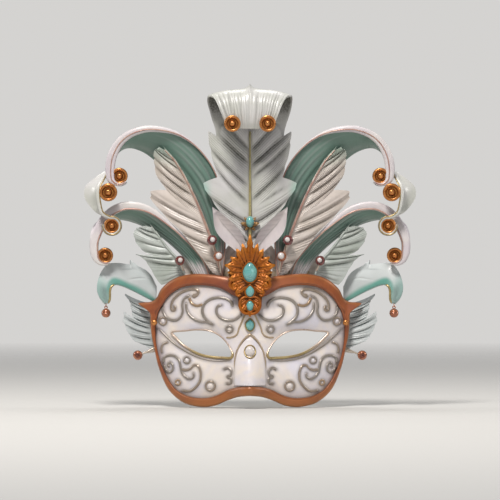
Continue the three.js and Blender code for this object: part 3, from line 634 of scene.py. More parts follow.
def edge_band():
    """The copper border: across each place a rounded step rises BAND_RISE from the plate and comes
    home behind it, carried round the whole mask."""
    half = spline(BAND, 360)
    whole = np.concatenate([half, (half * [-1, 1, -1, 1])[-2::-1]])
    across = (1 - np.cos(np.linspace(0, np.pi, 26))) / 2
    outer, inner = whole[:, None, :2], whole[:, None, 2:]
    xz = inner + (outer - inner) * across[None, :, None]
    profile = 0.25 + (BAND_RISE - 0.25) * (1 - np.abs(2 * across - 1) ** 4.5) ** 0.5
    groove = 0.35 * bell(across - 0.14, 0.035)
    front = on_face(xz, (profile - groove)[None, :])
    back = on_face(xz, 0.1)
    ring = np.concatenate([front, back[:, ::-1]], axis=1)
    # Painted shade along both edges and in the groove, and thinly over the back; a painted highlight in
    # a stripe along the outer slope; a lighter orange over the lower part.
    dark = 0.75 * bell(across, 0.05) + 0.6 * bell(across - 0.14, 0.04) + 0.35 * bell(across - 1, 0.06)
    painted_highlight = 0.35 * bell(across - 0.85, 0.12)
    rows = len(whole)
    recess = np.tile(np.concatenate([dark, 0.2 * np.ones_like(dark)]), (rows, 1))
    tint = np.tile(np.concatenate([painted_highlight, 0 * painted_highlight]), (rows, 1))
    lower = smooth((-10 - whole[:, 1]) / 40)[:, None]
    return [patch(ring, around=True, recess=recess, tint=np.clip(tint + 0.35 * lower, 0, 1))]


def raised_line(xz, radius, swell, **fields):
    """A wire laid on the plate, blunt at both ends and swollen, most at its first."""
    s = np.linspace(0, 1, len(xz))
    swelling = 1 + swell * bell(s, 0.07) + 0.4 * swell * bell(s - 1, 0.05)
    width = radius * swelling * blunt(len(xz), 0.06)
    return sweep(on_face(xz, 0.1), width, up=face_normal(xz), flat=0.8, **fields)


def scrollwork():
    """The raised lines. Two of them are worn to warm gilt, and every third one a little."""
    shapes = []
    for index, (line, radius, swell) in enumerate(scroll_lines()):
        warm = 1.0 if index in (3, 16) else 0.35 * (index % 3 == 0)
        shapes.append(raised_line(line, radius, swell, tint=warm))
    return shapes


def scroll_beads():
    """Small domes inside the rings."""
    shapes = []
    for x, z, radius in RINGS:
        size = 0.62 * radius
        seat = on_face(np.array([x, z]), -0.5)
        profile = [(size, 0), (size * 0.9, 0.28 * size), (size * 0.55, 0.5 * size), (0, 0.6 * size)]
        shapes.append(turned(seat, profile, 20, 14, axis=face_normal(np.array([x, z]))))
    return shapes


def eye_trim():
    """The bead round an eye: thin over the upper lid, a wider ledge under the lower lid."""
    eye = spline(EYE, 260, closed=True)
    middle = eye.mean(axis=0)
    line = eye + 0.75 * unit(eye - middle)
    low = smooth((1.5 - line[:, 1] - 0.34 * (line[:, 0] + 38)) / 5)
    line = np.concatenate([line, line[:1]])
    low = np.concatenate([low, low[:1]])
    width = 0.62 + 0.5 * low
    trim = sweep(on_face(line, 0.45), width, up=face_normal(line), flat=1.0, corners=16)
    trim["points"] = trim["points"][1:-1]
    cool = 1 - low * smooth((line[:, 0] + 56) / 14)
    trim["fields"] = {"tint": np.repeat(cool[:, None], 16, axis=1)}
    return [trim]


GUARD_EDGE = [(0, 4.2), (-4.6, 0.2), (-9.6, -7), (-12.2, -17), (-13, -28), (-12.8, -34.8)]


def nose_guard():
    """The plain arch: rows from its point down to the band, each as wide as the arch there, whose
    edges turn down onto the plate."""
    edge = spline(GUARD_EDGE, 200)
    z = np.linspace(4.2, -34.8, 110)
    half = np.interp(-z, -edge[:, 1], -edge[:, 0])
    v = np.sin(np.linspace(-np.pi / 2, np.pi / 2, 61))
    xz = np.stack([half[:, None] * v, np.repeat(z[:, None], 61, axis=1)], axis=-1)
    rise = GUARD_RISE * (1 - v**10) ** 0.5 + 0.1
    near_top = smooth((4.2 - z) / 3)[:, None]
    front = on_face(xz, rise * near_top + 0.1)
    back = on_face(xz, 0.05)
    shade = 0.35 * bell(1 - np.abs(v), 0.06) * np.ones((110, 1))
    return [zipped(front, back, recess=(shade, 0))]


def guard_lines():
    """The gilt arch over the nose guard and the V beside the drop stone."""
    shapes = []
    left_arch = [(-12.6, -22), (-12.2, -15), (-10.4, -7.6), (-6.6, -0.6), (-3, 3.4), (0, 5.6)]
    arch = spline(left_arch, 70)
    both = np.concatenate([arch, (arch * [-1, 1])[-2::-1]])
    s = np.abs(np.linspace(-1, 1, len(both)))
    shapes.append(sweep(on_face(both, 0.7), 0.85 * np.sqrt(np.maximum(1 - s**3, 0.05)),
                        up=face_normal(both), tint=0.6))
    left_v = [(-3.2, 22.6), (-5.6, 17.6), (-8.6, 11), (-10.6, 5.4), (-14.4, 3.2), (-19.2, 3.0)]
    for side in (1, -1):
        shapes.append(raised_line(spline(left_v, 60) * [side, 1], 0.72, 0.1, tint=0.5))
    return shapes


# Brow ornament -----------------------------------------------------------------------------------

MEDALLION_EDGE = [
    (0, 77.6), (-2.6, 72.5), (-6.4, 71), (-9.6, 69.2), (-11.6, 66.2), (-15.6, 64.2), (-18, 61.2),
    (-16.6, 57.2), (-17.2, 52.6), (-15.4, 49.4), (-15.6, 44.8), (-12.8, 41.4), (-10.0, 36.4),
    (-9.4, 30.4), (-8, 24.6), (-4.2, 21.8), (0, 21),
]
# Acanthus leaves of the left half: root [x, z], tip [x, z], half width, how far the tip lifts
LEAVES = [
    (-1.6, 60, -6.2, 78.4, 3.0, 2.6), (-3, 60, -10.8, 74.2, 3.2, 1.4),
    (-4.6, 59, -15.8, 67.6, 3.0, 2.4), (-5, 58, -20.4, 61, 3.3, 2.9),
    (-5, 55, -18.0, 55.2, 2.9, 1.3), (-5, 52, -17.4, 49.4, 3.2, 2.6), (-4, 48.6, -16, 43.4, 3.3, 1.6),
    (-3, 45, -12.2, 38.2, 2.9, 2.4), (-2.4, 34, -9.4, 29.4, 2.6, 1.2), (-1.8, 31, -6.4, 24, 2.5, 1.9),
]
# Rolled scrolls between the leaves: [x, z] lines and their thickest radius
CURLS = [
    ([(-5, 50), (-10.4, 51.2), (-15, 48.6), (-16, 44.4), (-12.8, 41.8), (-10, 43.6),
      (-11.2, 46.2)], 1.15),
    ([(-5, 58), (-9.4, 62.8), (-14.6, 62.4), (-16.2, 58.8), (-13.4, 56.6), (-11.2, 58.6)], 1.1),
    ([(-1.4, 35.2), (-5, 35.2), (-7.6, 32.4), (-7.8, 27.6), (-5, 23.2), (0, 21.6)], 1.2),
    ([(-3.4, 43), (-7.4, 42.4), (-10.8, 39.4), (-9.6, 36.4), (-7.2, 37.4)], 0.95),
]
MIDDLE_LEAVES = [(0, 60, 0, 86, 2.9, 2.0), (0, 27, 0, 19.6, 2.4, 0.9)]
# Bosses behind the plate that carry it on the brow: height of the middle and radius at the brow
BOSSES = [(40, 5.2), (66, 3.4)]
# The three stones on the medallion: middle [x, z], half width, half height, how pear-like it is
STONES = [(0, 55.2, 5.8, 7.9, 0.55), (0, 40, 3.5, 4.6, 0.9), (0, 28.4, 3.1, 4.1, 0.35)]
PLATE_BACK = -5.6


def medallion_plate():
    """The base: rays from its middle to its outline, scalloped towards the rim, with a rolled edge."""
    half = spline(MEDALLION_EDGE, 150)
    rim = np.concatenate([half, (half * [-1, 1])[-2:0:-1]])
    middle = np.array([0.0, 48.0])
    share = np.sin(np.linspace(0, np.pi / 2, 40))[:, None]
    xz = middle + (rim - middle)[None] * share[..., None]
    turn = np.arctan2(rim[:, 1] - middle[1], rim[:, 0] - middle[0])[None]
    flute = np.abs(np.sin(8 * turn))
    rise = 1.7 * (1 - share**9) ** 0.5 + 0.45 * flute * share
    front = np.stack([xz[..., 0], PLATE_BACK - rise, xz[..., 1]], axis=-1)
    back = np.stack([xz[..., 0], np.full(xz.shape[:2], PLATE_BACK), xz[..., 1]], axis=-1)
    # Painted shade: the whole base is darkened, the flutes' hollows more.
    recess = np.clip(0.5 * (1 - flute) * share + 0.55, 0, 1)
    edge = np.stack([front[-1], back[-1]])
    return [patch(front, around=True, recess=recess), patch(back, around=True),
            patch(edge, around=True)]


def leaf(root_x, root_z, tip_x, tip_z, half, lift, seat=-7.3):
    """One acanthus leaf: it widens and comes to a point, its edge is notched, a groove runs down its
    middle, its sides arch, and its tip lifts towards the front and rolls over. Behind its middle the
    brass is thick enough to reach the plate."""
    u = np.linspace(0, 1, 44)[:, None]
    v = np.linspace(-1, 1, 21)[None]
    root, tip = np.array([root_x, root_z], float), np.array([tip_x, tip_z], float)
    way = tip - root
    long = np.linalg.norm(way)
    side = np.array([-way[1], way[0]]) / long
    notches = 1 + 0.12 * np.sin(9 * np.pi * u)
    width = half * np.sin(np.pi * np.clip(0.16 + 0.84 * u, 0, 1)) ** 0.75 * notches
    xz = root + way * u[..., None] + side * (width * v)[..., None]
    arch = 1.1 * (1 - v**2) * np.sin(np.pi * u * 0.9 + 0.3) ** 0.8
    groove = 0.75 * bell(v, 0.16) * (1 - u)
    veins = 0.22 * np.abs(np.sin(np.pi * (5 * u + 1.4 * np.abs(v)))) * (1 - np.abs(v) * 0.3)
    height = 0.5 + arch - groove + veins + lift * (smooth(u * 1.25) - 0.6 * smooth((u - 0.8) / 0.2))
    front = np.stack([xz[..., 0], seat - height, xz[..., 1]], axis=-1)
    thick = 0.5 + (height + 0.5) * (1 - np.abs(v) ** 1.6)
    back = front + np.stack([0 * thick, thick, 0 * thick], axis=-1)
    # Painted shade in the middle groove, at the root, along the edges and over the back; the outer half
    # turns a lighter orange where it is not in painted shade.
    dark_root, dark_edge = 0.7 * (1 - smooth(u * 3)), 0.35 * bell(1 - np.abs(v), 0.1)
    recess = np.clip(0.9 * bell(v, 0.13) * (1 - 0.6 * u) + dark_root + dark_edge, 0, 1)
    tint = smooth((u - 0.5) * 2) * (1 - recess)
    return zipped(front, back, recess=(recess, 0.6), tint=(tint, tint))


def rolled_scroll(points, radius, side, count=90, corners=16):
    """A brass scroll: a tube along its line, thickest past its middle, painted in shade on its lower
    side and towards its start.
    """
    line = spline(points, count)
    share = np.linspace(0, 1, count)
    depth = -8.6 - 1.4 * smooth(share * 1.4)
    path = np.stack([line[:, 0] * side, depth, line[:, 1]], axis=-1)
    width = radius * blunt(count, 0.07) * (0.65 + 0.5 * np.sin(np.pi * share**1.3))
    roll = sweep(path, width, flat=1.1, corners=corners)
    around = np.linspace(0, 2 * np.pi, corners, endpoint=False)[None]
    low = 0.75 * smooth(-np.sin(around) + 0.2) + 0.25 * (1 - share[:, None])
    roll["fields"] = {"recess": np.clip(np.concatenate([low[:1], low, low[-1:]]), 0, 1)}
    return roll


def medallion():
    """The plate on its two bosses, with leaves and scrolls on both halves and three bezels."""
    shapes = medallion_plate()
    for z, reach in BOSSES:
        boss = [(0.55 * reach, 0), (0.6 * reach, 2), (0.8 * reach, 5), (reach, 7.4), (0, 7.4)]
        shapes.append(turned([0, PLATE_BACK - 0.1, z], boss, 32, 24, axis=(0, 1, 0)))
    for x0, z0, x1, z1, half, lift in LEAVES:
        shapes.append(leaf(x0, z0, x1, z1, half, lift))
        shapes.append(leaf(-x0, z0, -x1, z1, half, lift))
    shapes += [leaf(*row) for row in MIDDLE_LEAVES]
    shapes += [rolled_scroll(points, radius, side) for points, radius in CURLS for side in (1, -1)]
    for x, z, rx, rz, point in STONES:
        outline = stone_outline(x, z, rx + 0.55, rz + 0.55, point)
        shapes.append(bezel(outline, -9.0))
    return shapes


def stone_outline(x, z, rx, rz, point):
    """A pear: an ellipse whose width narrows towards its top by `point`."""
    turn = np.linspace(0, 2 * np.pi, 72, endpoint=False)
    high = np.sin(turn)
    narrow = 1 - point * 0.5 * smooth((high + 0.2) / 1.2) * np.abs(high)
    return np.stack([x + rx * np.cos(turn) * narrow, z + rz * high], axis=-1)


def cabochon(x, z, rx, rz, point, seat, height):
    """A polished stone: its pear outline shrinks to a point as a quarter ellipse rises."""
    outline = stone_outline(x, z, rx, rz, point)
    middle = np.array([x, z])
    climb = np.linspace(0, np.pi / 2, 24)
    share, rise = np.cos(climb), height * np.sin(climb)
    xz = middle + (outline - middle)[None] * share[:, None, None]
    depth = np.broadcast_to(seat - rise[:, None], xz.shape[:2])
    dome = np.stack([xz[..., 0], depth, xz[..., 1]], axis=-1)
    base = dome[:1].copy()
    under = np.broadcast_to(np.array([x, seat, z], float), base.shape)
    return patch(np.concatenate([under, base, dome]), around=True)


def bezel(outline, depth, radius=0.55):
    """A round wire that closes on itself round a stone."""
    line = np.concatenate([outline, outline[:2]])
    path = np.stack([line[:, 0], np.broadcast_to(depth, len(line)), line[:, 1]], axis=-1)
    ring = sweep(path, radius, corners=12)
    ring["points"] = ring["points"][1:-2]
    ring["fields"] = {"recess": np.full(ring["points"].shape[:2], 0.12)}
    return ring


# Plumes ------------------------------------------------------------------------------------------


def locks(u, seed, count, depth):
    """Where a vane's barbs clump: the distance to the nearest of `count` jittered partings gives a
    narrow groove, and each clump between them is softly domed."""
    dice = np.random.default_rng(seed)
    cuts = (np.arange(count + 1) + dice.uniform(-0.28, 0.28, count + 1)) / count
    cuts[0], cuts[-1] = -0.02, 1.02
    place = np.searchsorted(cuts, np.clip(u, 0, 1)) - 1
    place = np.clip(place, 0, count - 1)
    low, high = cuts[place], cuts[place + 1]
    t = (u - low) / (high - low)
    size = dice.uniform(0.7, 1.2, count + 1)[place]
    groove = np.exp(-((np.minimum(t, 1 - t) * (high - low) * count / 0.16) ** 2))
    dome = np.sin(np.pi * t**0.7) ** 1.15
    return depth * size * (dome - 0.2 * groove), groove


def vane(quill, rows, way, lean, steps, seed, barbs, clumps, depth, fine, bend=14):
    """One side of a feather as a front sheet and its fields.

    A barb leaves the quill at a listed angle, turns by `bend` towards the tip and runs its listed
    length, falling back by `lean`. Ridges `fine` high follow the barbs, which gather into clumps
    `depth` high.
    """
    rows = np.asarray(rows, float)
    count, columns = steps
    line = spline(quill, count)
    tangent = unit(np.gradient(line, axis=0))
    u = np.linspace(0, 1, count)[:, None]
    v = (np.linspace(0, 1, columns) ** 0.85)[None]
    wave = 0.006 * noise((count, columns), seed + 7, (6, 2)) * v
    height, groove = locks(u + wave, seed, clumps, depth)
    length = along_rows(rows, u, 1) * (1 - 0.03 * groove * smooth(v * 2)) * v
    turn = np.radians(along_rows(rows, u, 2) - bend * v * 0.5)
    heading = np.arctan2(tangent[:, 2], tangent[:, 0])[:, None] + way * turn
    drift = 0.45 * noise((count, columns), seed + 19, (barbs // 8, 2))
    ridge = np.abs(np.sin(np.pi * ((u + 1.4 * wave) * barbs + 0.4 * v + drift)))
    envelope = smooth(v * 5) * (1 - 0.7 * smooth((v - 0.6) / 0.4))
    strength = np.clip(0.6 + 1.1 * noise((count, columns), seed + 3, (barbs // 3, 2)), 0, 1.4)
    relief = height * envelope + fine * (ridge - 0.5) * strength * smooth(v * 9) * (1 - 0.4 * v)
    points = np.stack([
        line[:, :1] + length * np.cos(heading),
        line[:, 1:2] + lean * length - relief,
        line[:, 2:] + length * np.sin(heading),
    ], axis=-1)
    # Painted shade in the partings, over the low ground between clumps and in the grooves between barbs,
    # fading at the quill and towards the edge.
    low = 1 - np.clip(height / depth, 0, 1)
    paint = smooth(v * 5) * (1 - 0.4 * smooth((v - 0.75) / 0.25))
    recess = np.clip((0.26 * groove + 0.34 * low**2) * paint
                     + 0.55 * (1 - ridge) ** 2 * strength * paint, 0, 1)
    return points, recess, v + 0 * u


def feather(quill, left, right, steps, lean, seed, tint=None, **details):
    """A closed feather: both vanes joined at the quill, backed by a smoother sheet that thins
    towards the edges. `steps` is its rows, then the columns of its left and right vanes."""
    rows, left_columns, right_columns = steps
    a, dark_a, v_a = vane(quill, left, 1, lean, (rows, left_columns), seed, **details)
    b, dark_b, v_b = vane(quill, right, -1, lean, (rows, right_columns), seed + 40, **details)
    front = np.concatenate([a[:, ::-1], b[:, 1:]], axis=1)
    recess = np.concatenate([dark_a[:, ::-1], dark_b[:, 1:]], axis=1)
    v = np.concatenate([v_a[:, ::-1], v_b[:, 1:]], axis=1)
    behind = SHEET * (1 - 0.62 * v**2)
    back = front + np.stack([0 * behind, behind, 0 * behind], axis=-1)
    stain = np.zeros_like(v) if tint is None else tint(front)
    # The back takes 0.6 of the front's painted shade and stain.
    return zipped(front, back, recess=(recess, 0.6 * recess), tint=(stain, 0.6 * stain))


# Rows of (share along the quill, barb length, barb angle to the quill)
CENTRE_VANE = [
    (0, 5, 70), (0.1, 8, 62), (0.18, 13, 58), (0.246, 23, 58), (0.31, 35, 60), (0.385, 43.6, 63),
    (0.413, 45.8, 62), (0.428, 39, 49), (0.55, 43.6, 52), (0.65, 44.4, 55), (0.725, 45, 55),
    (0.742, 35.6, 55), (0.82, 32, 51), (0.9, 20, 46), (1, 6, 40),
]
# The plume's rolled tip: [y, z, half width] along the fold
ROLL = [
    (8.6, 126, 18), (9, 150, 26), (9, 168, 27.6), (8, 180, 31.2), (5, 190, 33.6),
    (-0.5, 196.6, 34), (-7, 199.2, 32.6), (-13.2, 197.2, 29.8), (-17.6, 191.4, 26.8),
    (-19.6, 183.8, 23.8), (-19.4, 176, 20.6), (-17, 170.4, 17.8),
]


def rolled_tip():
    """The plume's tip: a sheet carried along its fold, fluted along its length, that stands up as a
    small point where the quill crosses the top."""
    rows, columns = 130, 131
    spine = spline(ROLL, rows)
    tangent = unit(np.gradient(spine[:, :2], axis=0))
    u = np.linspace(0, 1, rows)[:, None]
    v = np.sin(np.linspace(-1, 1, columns) * np.pi / 2 * 0.92)[None]
    v = v / v.max()
    out = np.stack([tangent[:, 1], -tangent[:, 0]], axis=-1)
    flutes = np.abs(np.sin(np.pi * (9.5 * v + 0.6 * noise((rows, columns), 5, (4, 17)))))
    wide = np.abs(np.sin(np.pi * (3.7 * v + 0.2)))
    fade = smooth((u - 0.7) / 0.1) * (0.35 + 0.65 * smooth((0.99 - u) / 0.08))
    top = bell(u - 0.68, 0.16)
    crest = 4.4 * np.exp(-np.abs(v) / 0.08) * bell(u - 0.69, 0.08) - 4.6 * np.abs(v) ** 3.2 * top
    relief = (0.42 * (flutes - 0.5) + 0.5 * (wide - 0.5)) * fade * (1 - 0.5 * np.abs(v) ** 6)
    push = SHEET + crest + relief
    x = v * spine[:, 2:3] * (1 + 0.006 * noise((rows, columns), 8, (14, 3)))
    outer = np.stack([x, spine[:, :1] + out[:, :1] * push, spine[:, 1:2] + out[:, 1:] * push], axis=-1)
    low = crest + 0.25 * relief + 0.5 * np.abs(v) ** 8
    inner = np.stack([x, spine[:, :1] + out[:, :1] * low, spine[:, 1:2] + out[:, 1:] * low], axis=-1)
    # Painted shade in the flutes on the outside, and on the inside of the roll from its top onwards,
    # less at its sides.
    narrow_dark = 0.5 * (1 - flutes) ** 2 * smooth(np.abs(v) * 1.6 + 0.25)
    recess = np.clip((narrow_dark + 0.2 * (1 - wide) ** 2) * fade, 0, 1)
    pale_rim = 1 - 0.6 * smooth((np.abs(v) - 0.93) / 0.06)
    shade = smooth((u - 0.36) / 0.2) * smooth((1.02 - u) / 0.1) * pale_rim
    return zipped(outer, inner, recess=(recess, shade))


def centre_plume():
    """The tall plume: a wide feather with its rolled tip."""
    def mint_tips(points):
        """Mint creeps in at the tips of the lowest, widest locks."""
        x, z = np.abs(points[..., 0]), points[..., 2]
        return 0.85 * smooth((x - 29) / 9) * bell(z - 119, 11)

    body = feather([(0, 5, 50), (0, 5.4, 90), (0, 6, 130), (0, 6.4, 172)], CENTRE_VANE, CENTRE_VANE,
                   lean=0.02, steps=(380, 40, 40), barbs=58, clumps=8, depth=2.2, fine=0.3, seed=12,
                   tint=mint_tips)
    return [body, rolled_tip()]


def centre_quill():
    """The broad gilt quill, thick at the medallion and thin under the roll."""
    path = spline([(0, 3.4, 78), (0, 3.6, 100), (0, 4.0, 130), (0, 4.4, 160), (0, 5, 168)], 120)
    return [sweep(path, np.linspace(1.35, 0.6, len(path)), flat=0.9)]


def coil(centre, radius, angles, depths, count):
    """[x, y, z, x, y, z] rows of two rails that circle a rosette."""
    turn = np.radians(np.linspace(*angles, count))
    x, z = centre[0] + radius * np.cos(turn), centre[1] + radius * np.sin(turn)
    (near_a, near_b), (far_a, far_b) = depths
    y_near, y_far = np.linspace(near_a, near_b, count), np.linspace(far_a, far_b, count)
    return np.stack([x, y_near, z, x, y_far, z], axis=-1)


# Curled strips from root to tip: [x, y, z] on the near rail, then on the far rail
UPPER_PLUME = [
    (-22, 10.9, 50, -27, 13.2, 50), (-20, 11.4, 82, -32.6, 17, 80), (-22.4, 11.6, 112, -41, 19.5, 99),
    (-27.6, 12, 134, -50.6, 20.6, 114), (-36, 12.4, 148.4, -61.6, 23, 128.6),
    (-47.6, 12.6, 160.4, -72.6, 25, 140.8), (-59.6, 12, 167.8, -82.6, 26.6, 149.6),
    (-72.6, 11, 171.4, -91.4, 27.6, 154), (-86, 10.6, 171.4, -98.6, 28, 155),
    (-98, 10.6, 166.6, -104.6, 28, 152.4), (-106.2, 10.6, 158.6, -109, 26.6, 146.6),
    (-111, 10.6, 148, -111.4, 24.6, 141.6), (-112.2, 10.6, 139, -112.4, 22.6, 136.6),
]
UPPER_CURL = [
    (-115.6, 20, 135.6, -117.2, 27, 136.6), (-118.6, 14, 129.4, -125.4, 25, 131),
    (-121.4, 11, 124, -132.8, 24, 123.8), (-122, 9.6, 118, -133.4, 22, 116),
    (-121, 8.2, 110.6, -128.6, 19, 107.8), (-118.4, 6.8, 102.6, -121.4, 16, 101.6),
]
LOWER_PLUME = [
    (-31, 15.6, 49, -42, 21, 48), (-37, 16.6, 64.4, -52.6, 26, 65.4),
    (-46.6, 17.4, 76.8, -64.6, 30, 77.4), (-54.8, 18.4, 85, -75, 33, 85.4),
    (-63, 19, 92.8, -84.6, 35, 91), (-72.2, 19.6, 101, -92.6, 36, 94.4),
    (-81, 20, 106.8, -100.4, 36.4, 96.6), (-91.6, 20, 110, -107.4, 36, 97.4),
    (-103.4, 20, 109.4, -114.4, 35, 97.4), (-111.4, 19.6, 105, -120.4, 34, 96.4),
    (-117, 18.8, 98, -125.4, 32, 91.6), (-121, 17.6, 88, -127.6, 30, 84),
    (-123.4, 16.4, 78, -127, 27, 75),
]
SIDE_FLAP = [
    (-75.4, 35.6, 43.6, -76, 34.6, 30.4), (-80.6, 36, 53.4, -83, 33, 34.2),
    (-88.6, 34.6, 59.2, -90, 30, 38.2), (-98, 31.6, 61.4, -96.6, 27, 41.6),
    (-107, 28, 62.6, -102.6, 24, 44.2), (-114.6, 24.6, 61.6, -107.6, 22, 45.2),
    (-119.4, 22, 56.2, -110.8, 20.6, 43.6), (-122.4, 20, 48.4, -112, 19.4, 40),
    (-123, 18.4, 41, -112, 18.4, 36.6), (-120.6, 17, 34.4, -112.2, 17.6, 33),
    (-116.6, 16.2, 30, -113.4, 17, 30),
]
# Each rosette's radius and the middle of its back
ROSETTES = {
    "plume_tip": (6.4, (-14, -21.8, 173.4)),
    "upper": (6.4, (-104.8, 13.4, 132.4)),
    "middle": (7.0, (-113.7, 11.2, 119.3)),
    "scroll": (6.2, (-110.8, 9.4, 92.4)),
    "lower": (6.2, (-116.4, 18, 68.6)),
}


def rails_of(table, rosette, angles, depths, count=7, rows=260):
    """Both rails of a ribbon as smooth lines that end in a coil round a rosette."""
    radius, at = ROSETTES[rosette]
    turns = coil((at[0], at[2]), radius + 0.4, angles, depths, count)
    line = spline(np.concatenate([table, turns]), rows)
    return line[:, :3], line[:, 3:]


def ribbon(near, far, bow, thick, flat_from=2.0, columns=45, ridges=None):
    """A sheet between two rails: it bows across its width, fades flat before its coil, and is
    `thick` deep. Returns its two sides, the share along, the share across and the way it faces."""
    rows = len(near)
    u = np.linspace(0, 1, rows)[:, None]
    v = np.linspace(0, 1, columns)[None]
    flat = near[:, None] * (1 - v[..., None]) + far[:, None] * v[..., None]
    along = np.gradient(flat, axis=0)
    width = (far - near)[:, None]
    normal = unit(np.cross(along, np.broadcast_to(width, along.shape)))
    fade = 1 - smooth((u - flat_from + 0.1) / 0.1)
    rise = bow * 4 * v * (1 - v) * fade
    if ridges is not None:
        rise = rise + ridges(u, v)
    front = flat + normal * rise[..., None]
    back = front - normal * (thick * np.ones_like(rise))[..., None]
    return front, back, u, v, normal


def cuff(near, outward, inward, depth, corners=28):
    """The rolled hem along a ribbon's near rail: an oval that reaches `outward` past the rail and
    `inward` over the ribbon, seen from the front. Also returns the way that points outwards."""
    tangent = np.gradient(near, axis=0)
    out = unit(np.stack([tangent[:, 2], 0 * tangent[:, 0], -tangent[:, 0]], axis=-1))
    middle = near + out * ((outward - inward) / 2)[:, None]
    half = (outward + inward) / 2
    turn = np.linspace(0, 2 * np.pi, corners, endpoint=False)[None, :, None]
    cos, sin = np.cos(turn), np.sin(turn)
    depth = np.broadcast_to(depth, len(near))
    ring = (middle[:, None] + out[:, None] * half[:, None, None] * np.sign(cos) * np.abs(cos) ** 0.8
            + FRONT * depth[:, None, None] * np.sign(sin) * np.abs(sin) ** 0.9)
    first = np.repeat(middle[:1, None], corners, axis=1)
    last = np.repeat(middle[-1:, None], corners, axis=1)
    return patch(np.concatenate([first, ring, last]), around=True), out


def root_flutes(u, v, seed):
    """Long flutes of an arch, from 0 in a groove to 1 on a crest, and how far they have faded."""
    drift = 0.25 * noise((u.shape[0], v.shape[1]), seed, (5, 4))
    return np.abs(np.sin(np.pi * (6.5 * v + drift))), 1 - smooth((u - 0.4) / 0.2)


def arch_plume(near, far, hem, seed):
    """A horned plume: a teal ribbon with long flutes near its root, and a white hem whose widths
    `hem` lists as (share along, outward, inward)."""
    def ridges(u, v):
        flute, fade = root_flutes(u, v, seed)
        return 0.5 * (flute - 0.5) * fade * smooth(v * 8) * smooth((1 - v) * 8)

    front, back, u, v, _ = ribbon(near, far, 1.8, 1.5, 0.84, ridges=ridges)
    flute, fade = root_flutes(u, v, seed)
    # Painted shade in the flutes near the root and along the near rail under the hem.
    hollow = np.clip(0.5 * (1 - flute) * fade + 0.35 * bell(v, 0.1), 0, 1)
    stroke = noise(hollow.shape, seed + 5, (6, 18)) * smooth((0.75 - u) / 0.3)
    tint = np.clip(1 - 0.16 * smooth(stroke * 2) - 0.1 * smooth((v - 0.5) * 2), 0, 1)
    tint = tint * smooth((u - 0.07 - 0.03 * stroke) / 0.07)
    sheet = zipped(front, back, recess=(hollow, 0), tint=(tint, 0))
    outward, inward = along_rows(hem, u[:, 0], 1), along_rows(hem, u[:, 0], 2)
    roll, out = cuff(near, outward, inward, np.minimum(1.9, 0.75 * (outward + inward)))
    return sheet, roll, out, outward, inward


def hem_line(near, out, shift, radius, lift):
    """A gilt wire on a hem, `shift` outside the ribbon's near rail."""
    place = near + out * shift[:, None] + FRONT * lift
    return sweep(place, radius * blunt(len(near), 0.03), corners=10)


UPPER_HEM = [(0, 0.4, 0.4), (0.38, 0.6, 0.6), (0.5, 0.6, 0.9), (0.58, 0.5, 2.0), (0.65, 0.5, 3.8),
             (0.72, 1.0, 4.6), (0.785, 2.2, 4.4), (0.84, 3.4, 4.2), (0.89, 4.0, 3.8),
             (0.93, 3.8, 2.6), (0.96, 1.6, 1.4), (1, 0.6, 0.5)]
LOWER_HEM = [(0, 0.7, 0.7), (0.2, 0.9, 0.9), (0.35, 1.0, 1.4), (0.43, 1.2, 3.0), (0.5, 1.4, 4.2),
             (0.57, 1.6, 5.0), (0.65, 2.2, 5.0), (0.71, 3.4, 4.2), (0.77, 4.8, 3.0),
             (0.84, 5.6, 1.8), (0.9, 5.2, 1.6), (0.95, 2.6, 1.2), (1, 0.7, 0.5)]
# Each arch: its rails, the angles and the depths of its coil, its hem, a seed, and its gilt line's
# place across the hem, radius and lift
ARCHES = {
    "upper": (UPPER_PLUME, (190, 320), ((10.4, 10), (19, 16)), UPPER_HEM, 21, (0.42, 0.5, 1.9)),
    "lower": (LOWER_PLUME, (180, 300), ((15.4, 15), (23, 20)), LOWER_HEM, 31, (0.12, 0.6, 1.7)),
}


def side_plumes():
    """The arches on both sides, each with its hem and a gilt line on it."""
    for name, (table, angles, depths, hem, seed, (share, radius, lift)) in ARCHES.items():
        near, far = rails_of(table, name, angles, depths)
        sheet, roll, out, outward, inward = arch_plume(near, far, hem, seed)
        make_pair(f"fine_{name}_plume", [sheet, roll], TEAL_LACQUER, "plume_teal", f"{name}_plume")
        line = hem_line(near, out, -inward + share * (outward + inward), radius, lift)
        make_pair(f"{name}_plume_line", [line], ROSE_GILT, "gilt")


def upper_curl():
    """The white lobe at the upper arch's end: a bowed ribbon with a rolled, gilt-lined hem."""
    near, far = rails_of(UPPER_CURL, "scroll", (100, -190), ((6.4, 6), (14, 12)), 12)
    front, back, _, v, _ = ribbon(near, far, 2.2, -1.5, 0.5)
    # Painted shade along the near rail, under the rolled hem, on both sides.
    crease = 0.35 * bell(v, 0.12)
    lobe = zipped(front, back, recess=(crease, crease))
    hem = [(0, 0.7), (0.08, 1.5), (0.28, 2.0), (0.5, 1.6), (0.75, 1.1), (1, 0.6)]
    reach = along_rows(hem, np.linspace(0, 1, len(near)), 1)
    roll, out = cuff(near, reach, reach, 1.4)
    make_pair("fine_upper_curl", [lobe, roll], PLUME_LACQUER, "plume_white", "upper_curl")
    make_pair("upper_curl_line", [hem_line(near, out, -0.7 * reach, 0.55, 1.25)], GILT, "gilt")


